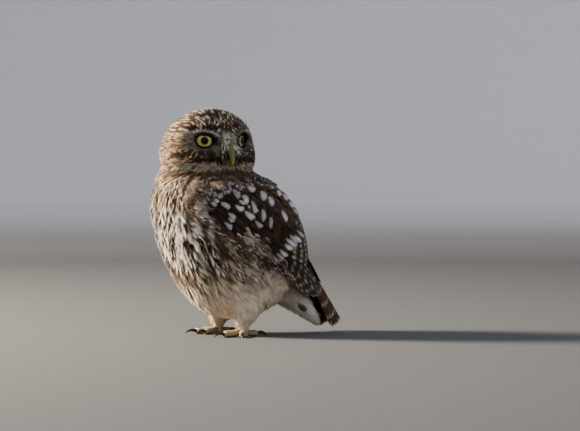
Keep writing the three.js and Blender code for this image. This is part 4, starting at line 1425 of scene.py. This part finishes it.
# The lids' section from the opening outwards: how high it stands and its share of the way
LID_SECTION = np.array([
    (0.05, 0), (0.3, 0.02), (0.5, 0.07), (0.4, 0.14), (0.55, 0.22), (0.42, 0.32), (0.5, 0.5), (0.4, 0.8),
    (0, 1),
])


def round_eye(side, angle, turn, reach):
    """Points round an eye: the angle from where it looks, the turn from its outer corner and how far out."""
    centre, look, out, up = eye_frame(side)
    angle, turn, reach = (values[..., None] for values in np.broadcast_arrays(angle, turn, reach))
    rim = out * np.cos(turn) + up * np.sin(turn)
    return centre + (look * np.cos(angle) + rim * np.sin(angle)) * reach


def build_eye(side):
    """An eyeball with the cornea's bulge, its rings round the way that it looks."""
    angle = np.pi * (np.arange(BALL_ANGLES + 1)[:, None] + 0.02) / (BALL_ANGLES + 0.04)
    turn = 2 * np.pi * np.arange(BALL_TURNS) / BALL_TURNS
    reach = EYE_RADIUS + PUPIL_BULGE * ramp(46, 18, np.degrees(angle))
    points, faces = skin_rings(round_eye(side, angle, turn, reach))
    lay = np.stack(np.broadcast_arrays(np.degrees(angle), 4 * np.cos(turn), 4 * np.sin(turn)), -1)
    lay = np.concatenate([lay.reshape(-1, 3), [[0, 0, 0], [180, 0, 0]]])
    word = word_of(side)
    eye = mesh_piece(f"eyeball_{word}", head_to_bird(points), faces, EYE, lay=lay)
    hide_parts(f"eye_{word}")


def build_lids(side):
    """Both lids of an eye as one ring on the ball: a round dark rim with folds, tucked in the plumage."""
    rng = np.random.default_rng(41)
    high, share = LID_SECTION.T
    turn = 2 * np.pi * np.arange(LID_TURNS)[:, None] / LID_TURNS
    k = np.arange(len(share))
    fold = 0.08 * np.sin(turn * 23 + k) * ((k > 0) & (k < 7))
    fold = fold + 0.03 * rng.standard_normal((LID_TURNS, len(k)))
    angle = np.radians(mix(LID_OPENING(np.degrees(turn)), LID_END, share))
    rings = round_eye(side, angle, turn, LID_RADIUS + high + fold)
    points, faces = skin_rings(np.concatenate([rings, rings[:1]]), closed_ends=False)
    mesh_piece(f"eyelids_{word_of(side)}", head_to_bird(points), faces, LID)


# Soft feathers apart from the skin's own coat

BRISTLES = 190  # on each side of the bill
LID_FEATHERS = 520
COVER_FEATHERS = 640
MANTLE_FEATHERS = 280
RUMP_FEATHERS = 130
TOE_FEATHERS = 60


def plain_dress(ground, rng, **more):
    """Feathers off the skin's own flow: their ground colour and, at most, spots or tips of their own."""
    count = len(ground)
    made = dict.fromkeys(("marks", "streak_gain", "spot_gain", "tip_gain", "around", "down"), np.zeros(count))
    made |= dict.fromkeys(("streak_wide", "fineness", "half", "length"), np.ones(count))
    made |= dict.fromkeys(("ground", "mark", "streak", "spot", "tip"), ground)
    made["light"] = 0.9 + 0.2 * rng.random(count)
    return made | more


def build_lid_feathers(side, kinds):
    """Tiny feathers on the lids, black near the eye, that hide the lids' outer edge."""
    rng, count = kinds.rng, LID_FEATHERS
    turn = 2 * np.pi * rng.random(count)
    opening = LID_OPENING(np.degrees(turn))
    start = np.radians(mix(opening + 4.5, 64, rng.random(count) ** 0.8))
    length = mix(1.7, 2.8, ramp(35, 60, np.degrees(start))) * rng.uniform(0.85, 1.15, count)
    stray = 0.1 * rng.standard_normal(count)
    path = []
    for t in STEPS:
        reach = LID_RADIUS + 0.15 + 0.55 * t + 0.2 * rng.random(count) * t
        path.append(round_eye(side, start + t * length / LID_RADIUS, turn + stray * t, reach))
    centre = eye_frame(side)[0]
    points, sides, normals = spine_rows(path, np.full(count, 0.95), lambda p: unit(p - centre))
    spines = [head_to_bird(points), turn_z(sides, HEAD_TURN), turn_z(normals, HEAD_TURN)]
    ground = head_colour(Place(spines[0][:, 3]), rng.random((count, 4)))
    kinds.grow(f"coat_lids_{word_of(side)}", SMALL, plain_dress(ground, rng), spines)


def build_bristles(kinds):
    """Bristle feathers of the lores that spring forward and hang over the bill's base and sides."""
    rng, count = kinds.rng, 2 * BRISTLES
    side = np.where(np.arange(count) % 2, 1.0, -1.0)
    share = rng.random(count)
    across = mix(1.0, 7.0, rng.random(count)) + 0.8 * (1 - share)
    height = mix(8.5, -4.0, share)
    guess = np.stack([side * across, np.full(count, -32.0), height], -1)
    root, normal = kinds.surface.nearest(head_to_bird(guess))
    near = ramp(5.5, 1.5, across)
    down = np.stack([side * mix(0.5, 0.3, near), np.full(count, -0.35), -mix(0.75, 1.0, near)], -1)
    run = unit(turn_z(unit(down + 0.12 * rng.standard_normal((count, 3))), HEAD_TURN))
    length = mix(5.0, 7.5, rng.random(count)) * mix(1.0, 0.75, share)
    path = []
    for t in STEPS:
        lift = 1.9 * t * (1.35 - t) * mix(0.6, 1.4, near) - 0.5 * (1 - t)
        path.append(root + run * (length * t)[:, None] + normal * lift[:, None])
    wide = mix(0.55, 1.0, rng.random(count))
    spines = spine_rows(path, wide, lambda p: np.repeat(normal[:, None], p.shape[1], 1))
    pale = blend(mix(WHITE, GREY, 0.3), BUFF, 0.5 * share)
    dark = ramp(0.6, 0.7, rng.random(count))
    dark = np.maximum(dark, ramp(0.3, 0.45, share) * ramp(0.25, 0.35, rng.random(count)))
    ground = blend(pale, mix(DARK, BLACK, 0.4), dark)
    dressed = plain_dress(ground, rng, tip=ground * 0.3, tip_gain=0.8 * (rng.random(count) < 0.4))
    kinds.grow("coat_bristles", SMALL, dressed, spines, kinds.skin_map.at(root))


COVER_ALONG = (-3.0, 112.0)
COVER_TOP = track([
    (-9, 13), (0, 9), (9, 0), (22, -12), (38, -12), (55, -4), (68, -5), (80, -10), (96, -13), (112, -12),
])
COVER_HEIGHT = track([(-9, 1.0), (10, 2.3), (24, 2.9), (55, 2.6), (75, 2.0), (96, 1.0), (112, 0.5)])
WING_MIDDLE = np.array([0.0, 0.0, 75.0])


def off_body(side, kinds, over, share):
    """A share of the way to points over the left wing from the body; side -1 takes the body's right half."""
    flip = [side, 1, 1]
    body, normal = kinds.surface.nearest(over * flip)
    return mix((body - normal) * flip, over, share)


def wing_spines(side, path, wide):
    """Spines over a wing from a path over the left one."""
    spines = spine_rows(path, wide, lambda p: unit((p - WING_MIDDLE) * [1, 0.9, 1]))
    points, sides, normals = (rows * [side, 1, 1] for rows in spines)
    return points, side * sides, normals


def build_cover(side, kinds):
    """Soft feathers of the breast's side and the flank that lie over the wing's front and lower edge."""
    rng, count = kinds.rng, COVER_FEATHERS
    tip = mix(*COVER_ALONG, rng.random(count) ** 1.15)
    deep = rng.random(count) ** 1.1
    edge = ramp(0.5, 0.1, deep)
    length = mix(9.5, 14, rng.random(count)) * mix(0.75, 1.0, ramp(-5, 20, tip))
    rise = mix(26, 4, np.maximum(deep, ramp(60, 95, tip)))
    rise = np.radians(rise + mix(8, 12, edge) * rng.standard_normal(count))
    ragged = 2.2 * edge * rng.standard_normal(count)
    far_bend = (5 if side < 0 else 0) * ramp(24, 8, tip)
    root = tip - length * np.cos(rise)
    root_q = COVER_TOP(tip) + far_bend + ragged - 16 * deep - length * np.sin(rise)
    loose = 0.9 * rng.random(count)
    path = []
    for t in STEPS:
        bent = rise - 0.35 * t * t
        along = root + length * t * np.cos(bent)
        q = root_q + length * t * np.sin(bent)
        rest = mix(-3.0, COVER_HEIGHT(along), ramp(-5, 4, q - WING_LOW(WING_STATION(along))))
        over = wing_sheet(along, q, rest + (loose + 0.3) * t * t)
        path.append(off_body(side, kinds, over, ramp(-0.1, 0.5, t)))
    wide = mix(3.2, 5.0, rng.random(count)) * mix(1.0, 0.8, edge)
    spines = wing_spines(side, path, wide)
    ends = Place(spines[0][:, 3])
    ends.back = 0 * ends.back
    dressed = dress(ends, flow_of(kinds.surface, spines[0][:, 2]), rng, length, wide)
    fluff = blend(mix(LILAC, WHITE, 0.25), mix(BROWN, GREY, 0.4), ramp(0.5, 0.85, rng.random(count)))
    fluff = blend(fluff, mix(BROWN, DARK, 0.7), 0.8 * ramp(9, 1, tip))
    low_edge = ramp(0.8, 0.2, deep) * within(tip, 20, 30, 84, 98)
    fluffy = np.maximum(ramp(36, 14, tip) * (side > 0), 0.65 * low_edge)
    dressed["ground"] = blend(dressed["ground"], fluff, 0.85 * fluffy)
    dressed["mark"] = blend(dressed["mark"], mix(BROWN, DARK, 0.7), ramp(34, 14, tip))
    kinds.grow(f"coat_flank_{word_of(side)}", LARGE, dressed, spines)


def build_mantle(side, kinds):
    """Soft feathers of the mantle and shoulder that run from the body over the front of the wing."""
    rng, count = kinds.rng, MANTLE_FEATHERS
    tip = mix(0, 50, rng.random(count))
    deep = rng.random(count) ** 1.3
    tip_q = WING_HIGH(WING_STATION(tip - 8)) + 1 - mix(13, 8, ramp(5, 45, tip)) * deep
    length = mix(8.5, 11, rng.random(count))
    fall = np.radians(mix(14, 34, deep) + 6 * rng.standard_normal(count))
    loose = 0.3 * rng.random(count)
    path = []
    for t in STEPS:
        along = tip - length * (1 - t) * np.cos(fall)
        q = tip_q + length * (1 - t) * np.sin(fall)
        over = wing_sheet(along, q, mix(0.8, 2.9, ramp(-4, 14, along)) + loose * t * t)
        path.append(off_body(side, kinds, over, ramp(-0.1, 0.6, t)))
    wide = mix(4.0, 6.2, rng.random(count))
    spines = wing_spines(side, path, wide)
    dressed = dress(Place(spines[0][:, 3]), flow_of(kinds.surface, spines[0][:, 2]), rng, length, wide)
    ground = blend(mix(DARK, BROWN, 0.2), mix(BROWN, GREY, 0.25), rng.random(count) ** 2)
    behind = ramp(4, 14, tip + (8 if side > 0 else -12))
    dressed["ground"] = blend(dressed["ground"], ground, behind)
    dressed["marks"] = dressed["marks"] * (1 - behind)
    dressed["spot"] = plain(mix(LILAC, WHITE, 0.4), count)
    dressed["spot_gain"] = behind * (rng.random(count) < 0.5)
    kinds.grow(f"coat_mantle_{word_of(side)}", LARGE, dressed, spines)


def build_rump(kinds):
    """Soft feathers of the rump that lie over the root of the tail."""
    rng, count = kinds.rng, RUMP_FEATHERS
    tip = mix(4, 34, rng.random(count))
    tip_q = mix(13, 8, tip / 34) * rng.uniform(-1, 1, count)
    length = mix(11, 15, rng.random(count))
    loose = 0.5 * rng.random(count)
    path = []
    for t in STEPS:
        rest = mix(1.4, 0.5, ramp(5, 34, tip)) + loose * t - 2.0 * (1 - t) ** 2
        path.append(tail_sheet(tip - length * (1 - t), tip_q * mix(1.1, 1.0, t), rest))
    wide = mix(5.0, 7.0, rng.random(count))
    spines = spine_rows(path, wide, lambda p: unit(p - [0, 40.0, 20.0]))
    ground = blend(mix(DARK, BROWN, 0.35), mix(BROWN, TAWNY, 0.2), rng.random(count) ** 2)
    spot = plain(mix(CREAM, BUFF, 0.3), count)
    dressed = plain_dress(ground, rng, spot=spot, spot_gain=1.0 * (rng.random(count) < 0.4))
    kinds.grow("coat_rump", LARGE, dressed, spines)


# Feet

TOE_RADIUS = 2.5
TOE_START = 1.5  # how far from the middle of the foot a toe's hide begins
CLAW_LENGTH = 9.0
HIND_CLAW = 0.85  # the hind claw's length as a share of the others'
CLAW_SET = 0.4  # how far a claw's horn reaches back into its toe
CLAW_NARROW = 0.85  # a claw's width as a share of its depth
# Each toe's turn outwards in degrees and its reach from the middle of the foot
TOES = {"inner": (-20, 16), "middle": (8, 18.5), "outer": (58, 14.5), "hind": (168, 11.5)}
# Sections of a toe and a claw: share of the length, height over the floor, and size
TOE_SHAPE = [
    (0, 3.6, 1), (0.22, 3.4, 1.02), (0.45, 2.5, 0.94), (0.7, 2.6, 1.02), (0.9, 2.2, 0.9), (1, 2.2, 0.62),
]
CLAW_SHAPE = [(0, 2.3, 1.35), (0.3, 3.2, 1.2), (0.6, 3.0, 0.9), (0.85, 1.9, 0.5), (1, 0.6, 0.15)]


def toe_frame(side, name):
    """The middle of the foot, the way that a toe runs and the way across it."""
    angle = math.radians(TOES[name][0])
    start = np.array([side * FOOT_CENTRE[0], FOOT_CENTRE[1], 0])
    run = np.array([side * math.sin(angle), -math.cos(angle), 0])
    return start, run, np.array([-run[1], run[0], 0])


def build_foot_feathers(side, kinds):
    """Sparse hair-like feathers over the toes."""
    rng, count = kinds.rng, TOE_FEATHERS
    paths, wides = [], []
    for name, (_, reach) in TOES.items():
        start, run, cross = toe_frame(side, name)
        turn = rng.uniform(-1.15, 1.15, count)
        share = rng.random(count) ** 1.3 * 0.72
        out = cross * np.sin(turn)[:, None] + np.array([0, 0, 1.0]) * np.cos(turn)[:, None]
        root = start + run * (1 + (reach - 1) * share)[:, None] + [0, 0, 2.6] + out * 2.3
        length = rng.uniform(2.6, 4.2, count)
        lie = unit(run + 0.35 * cross * np.sign(turn)[:, None] * rng.random((count, 1)) - [0, 0, 0.12])
        paths.append([root + lie * (length * t)[:, None] + out * (0.9 * t * (1.3 - t) - 0.3) for t in STEPS])
        wides.append(rng.uniform(0.8, 1.3, count))
    path, wide = np.concatenate(paths, 1), np.concatenate(wides)
    path[..., 2] = np.maximum(path[..., 2], 0.3)
    spines = spine_rows(path, wide, lambda p: np.zeros_like(p) + [0, 0, 1.0])
    ground = blend(CREAM, BUFF, rng.random(len(wide)))
    kinds.grow(f"coat_toes_{word_of(side)}", SMALL, plain_dress(ground, rng), spines)


def loft(stations, count, steps, across=(1.0, 0, 0), shape=None):
    """A fine tube through stations of place, half width and half depth, swelled by share and turn."""
    stations = np.array(stations)
    t = np.linspace(0, 1, len(stations))
    share = np.linspace(0, 1, steps)
    x, y, z, wide, deep = (track(np.stack([t, column], 1))(share) for column in stations.T)
    at = np.stack([x, y, z], -1)
    run = unit(np.gradient(at, axis=0))
    up = unit(np.cross(np.array(across), run))
    side = np.cross(run, up)
    turn = (np.arange(count) + 0.5) * 2 * math.pi / count
    swell = np.ones((steps, count)) if shape is None else shape(share[:, None], turn[None, :])
    c, s = np.cos(turn)[:, None], np.sin(turn)[:, None]
    section = (side * wide[:, None])[:, None] * c + (up * deep[:, None])[:, None] * s
    points, faces = skin_rings(at[:, None] + swell[..., None] * section)
    return points, faces, share, turn


def toe_shape(share, turn):
    """Scutes over the top and pads below."""
    top = ramp(0.1, 0.8, np.sin(turn))
    below = ramp(-0.2, -0.8, np.sin(turn))
    scutes = 0.035 * np.abs(np.sin(share * math.pi * 11)) * top
    pads = 0.07 * np.cos(share * math.pi * 5) * below
    return 1 + scutes + pads


def build_toe(side, name):
    """A scaly toe and its claw, both flat where they stand on the floor."""
    start, run, across = toe_frame(side, name)
    reach = TOES[name][1]
    word = word_of(side)

    def tube(sections, first, length, wide, deep, **more):
        """A loft of sections from a first distance on, flat where it meets the floor."""
        stations = []
        for share, high, size in sections:
            x, y, _ = start + run * (first + length * share)
            stations.append((x, y, high, size * wide, size * deep))
        points, faces, _, _ = loft(stations, across=across, **more)
        return np.maximum(points, [-np.inf, -np.inf, 0.0]), faces

    toe_length = reach - TOE_START
    points, faces = tube(
        TOE_SHAPE, TOE_START, toe_length, TOE_RADIUS, TOE_RADIUS, count=28, steps=60, shape=toe_shape)
    # Darker toward the floor: painted shade under the toe.
    tint = blend(srgb(168, 148, 116), srgb(120, 104, 78), ramp(2.0, 0.3, points[:, 2]))
    made = mesh_piece(f"toe_hide_{name}_{word}", points, faces, HIDE, tint)
    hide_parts(f"toe_{name}_{word}")
    length = CLAW_LENGTH * (HIND_CLAW if name == "hind" else 1) + GAP + CLAW_SET
    points, faces = tube(CLAW_SHAPE, reach - CLAW_SET, length, CLAW_NARROW, 1, count=20, steps=40)
    claw = mesh_piece(f"claw_horn_{name}_{word}", points, faces, CLAW)
    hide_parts(f"claw_{name}_{word}")


# The bill, as stations of place in the head's frame, half width and half depth

BILL_UPPER = [
    (0, -20, 5.6, 3.6, 4.6), (0, -26.0, 5.2, 3.4, 4.4), (0, -29.8, 3.4, 2.9, 4.1), (0, -31.8, 0.4, 2.4, 3.5),
    (0, -32.9, -3.0, 1.7, 2.6), (0, -33.3, -6.0, 1.0, 1.5), (0, -33.0, -8.3, 0.3, 0.4),
]
BILL_LOWER = [
    (0, -20, -2.2, 3.2, 1.8), (0, -25.5, -3.4, 2.9, 1.7), (0, -28.4, -4.7, 2.1, 1.4),
    (0, -30.4, -6.2, 1.0, 0.8),
]


def bill_shape(share, turn):
    """A keel along the culmen, flat cheeks, a cutting edge, the cere's soft rise and the nostrils in it."""
    top = np.cos(turn - math.pi / 2)
    keel = 1 + 0.06 * np.exp(-((turn - math.pi / 2) / 0.3) ** 2) * ramp(0.2, 0.4, share)
    cheeks = 1 - 0.07 * np.abs(np.cos(turn)) ** 4 * ramp(0.3, 0.5, share)
    cere = 1 + 0.07 * ramp(0.42, 0.36, share) * ramp(-0.6, 0.4, top)
    off = np.minimum(np.abs(turn - 0.2 * math.pi), np.abs(turn - 0.8 * math.pi))
    nostrils = np.exp(-(((share - 0.33) / 0.035) ** 2 + (off / 0.2) ** 2))
    return keel * cheeks * cere * (1 - 0.3 * nostrils)


def build_bill():
    points, faces, share, turn = loft(BILL_UPPER, count=64, steps=90, shape=bill_shape)
    grid = np.repeat(share, len(turn))
    top = np.tile(np.sin(turn), len(share))
    tint = blend(srgb(138, 136, 88), srgb(176, 166, 80), ramp(0.5, 0.9, grid))
    # Paler along the top: a painted highlight.
    tint = blend(tint, srgb(206, 200, 142), 0.8 * ramp(0.7, 1.0, top) * ramp(0.3, 0.5, grid))
    # Darker underneath toward the base: painted shade.
    tint = blend(tint, srgb(84, 82, 54), 0.5 * ramp(-0.2, -0.8, top) * ramp(1.0, 0.6, grid))
    tint = np.concatenate([tint, tint[:1], tint[-1:]])
    upper = mesh_piece("bill_upper_horn", head_to_bird(points), faces, HORN, tint)
    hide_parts("bill_upper")
    points, faces, _, _ = loft(BILL_LOWER, count=40, steps=40)
    tint = plain(srgb(132, 128, 62), len(points))
    lower = mesh_piece("bill_lower_horn", head_to_bird(points), faces, HORN, tint)
    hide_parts("bill_lower")


# Floor, camera and light

FLOOR_SHADE, WALL_SHADE = 0.13, 0.9
FLOOR_TINGE = [0.97, 0.98, 1.0, 1.0]
FLOOR_RADIUS = 3.4  # metres, where the floor begins to rise
WALL_TOP = 4.5
RISE_RADIUS = 2
FLOOR_TURNS = 96


def make_floor():
    """A grey floor that rises far away, all round, into a plain lighter wall."""
    profile = [(r, 0.0) for r in (0.0, 1.2, 1.9, 2.6, FLOOR_RADIUS)]
    for a in np.linspace(0.1, math.pi / 2, 14):
        profile.append((FLOOR_RADIUS + RISE_RADIUS * math.sin(a), RISE_RADIUS * (1 - math.cos(a))))
    profile += [(FLOOR_RADIUS + RISE_RADIUS, WALL_TOP)]
    turns = np.arange(FLOOR_TURNS)
    points, faces, shades = [], [], []
    for k, (r, z) in enumerate(profile):
        points += [(r * math.cos(a), r * math.sin(a), z) for a in turns * 2 * math.pi / FLOOR_TURNS]
        shades += [float(mix(FLOOR_SHADE, WALL_SHADE, ramp(1.2, FLOOR_RADIUS, r)))] * FLOOR_TURNS
        if k:
            low = (k - 1) * FLOOR_TURNS
            i, j = low + turns, low + (turns + 1) % FLOOR_TURNS
            faces += np.stack([i, j, j + FLOOR_TURNS, i + FLOOR_TURNS], -1).tolist()
    mesh = bpy.data.meshes.new("floor")
    mesh.from_pydata(points, [], faces)
    mesh.polygons.foreach_set("use_smooth", [True] * len(faces))
    floor = bpy.data.objects.new("floor", mesh)
    rgba = np.repeat(shades, 4).reshape(-1, 4) * FLOOR_TINGE
    mesh.attributes.new("tint", "FLOAT_COLOR", "POINT").data.foreach_set("color", rgba.ravel())
    n = Nodes("floor_paper")
    paper = n.scaled(n.tint(), n.mapped(n.noise(n.place(), 30.0), 0.98, 1.02))
    mesh.materials.append(n.finish(paper, Roughness=0.9))
    bpy.context.scene.collection.objects.link(floor)
    floor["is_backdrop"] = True


def make_camera():
    """The photograph's own view: its pixels' scale at the bird, and the bird's place in its frame."""
    right = np.array([math.cos(CAMERA_AZIMUTH), math.sin(CAMERA_AZIMUTH), 0])
    back = np.array([math.sin(CAMERA_AZIMUTH), -math.cos(CAMERA_AZIMUTH), 0]) * math.cos(CAMERA_ELEVATION)
    back = back + np.array([0, 0, math.sin(CAMERA_ELEVATION)])
    target = right * (PICTURE_WIDE / 2 - FEET_COLUMN) * PIXEL
    target = target + np.array([0, 0, (FLOOR_ROW - PICTURE_TALL / 2) * PIXEL])
    data = bpy.data.cameras.new("camera")
    data.sensor_width = 36.0
    data.lens = data.sensor_width * CAMERA_DISTANCE / (PICTURE_WIDE * PIXEL)
    data.clip_start, data.clip_end = 0.05, 60.0
    camera = bpy.data.objects.new("camera", data)
    camera.location = to_row(target + back * CAMERA_DISTANCE)
    camera.rotation_mode = "QUATERNION"
    camera.rotation_quaternion = Vector(-back).to_track_quat("-Z", "Y")
    bpy.context.scene.collection.objects.link(camera)
    bpy.context.scene.camera = camera


LIT_PLACE = [0, 0, 90]  # the bird's middle, where the lamps look
SKY_COLOUR, SKY_STRENGTH = (0.6, 0.64, 0.72, 1), 0.56
# Lamps: azimuth, elevation and metres away; size and power; colour; whether shiny parts mirror them
LAMPS = {
    "key": ((-34, 25, 1.6), (0.35, 100.0), (1.0, 0.88, 0.72), True),
    "fill": ((80, 25, 2.2), (1.6, 9.0), (0.9, 0.95, 1.0), False),
    "glint": ((82, 22, 1.8), (0.16, 0.8), (0.8, 0.9, 1.0), True),
    "top": ((10, 80, 2.0), (1.4, 4.0), (1.0, 0.98, 0.95), False),
}


def area_light(name, azimuth, elevation, distance, size, power, colour, shine):
    """A soft lamp that looks at the bird from an azimuth round it and an elevation, in degrees."""
    a, e = math.radians(azimuth), math.radians(elevation)
    back = Vector((math.sin(a) * math.cos(e), -math.cos(a) * math.cos(e), math.sin(e)))
    data = bpy.data.lights.new(name, "AREA")
    data.size, data.energy, data.color = size, power, colour
    lamp = bpy.data.objects.new(name, data)
    lamp.location = Vector(to_row(LIT_PLACE)) + back * distance
    lamp.rotation_mode = "QUATERNION"
    lamp.rotation_quaternion = (-back).to_track_quat("-Z", "Y")
    lamp.visible_glossy = shine
    bpy.context.scene.collection.objects.link(lamp)


def make_light():
    """The photo's low warm sun from the left, a cool sky, a soft fill and the lamp that glints in the eye."""
    world = bpy.data.worlds.new("studio")
    bpy.context.scene.world = world
    world.use_nodes = True
    sky = world.node_tree.nodes["Background"].inputs
    sky["Color"].default_value = SKY_COLOUR
    sky["Strength"].default_value = SKY_STRENGTH
    for name, (place, lamp, colour, shine) in LAMPS.items():
        area_light(name, *place, *lamp, colour, shine)
    bpy.context.scene.view_settings.look = "AgX - Medium High Contrast"


make_floor()
make_camera()
make_light()
soft_kinds = build_flesh()
build_bristles(soft_kinds)
build_wing(1)
build_wing(-1)
build_tail()
build_rump(soft_kinds)
build_bill()
for side in (1, -1):
    build_eye(side)
    build_lids(side)
    build_lid_feathers(side, soft_kinds)
    build_cover(side, soft_kinds)
    build_mantle(side, soft_kinds)
    build_foot_feathers(side, soft_kinds)
    for toe in TOES:
        build_toe(side, toe)

[[list(corner) for corner in box] for box in (CAD_BOX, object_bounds())]
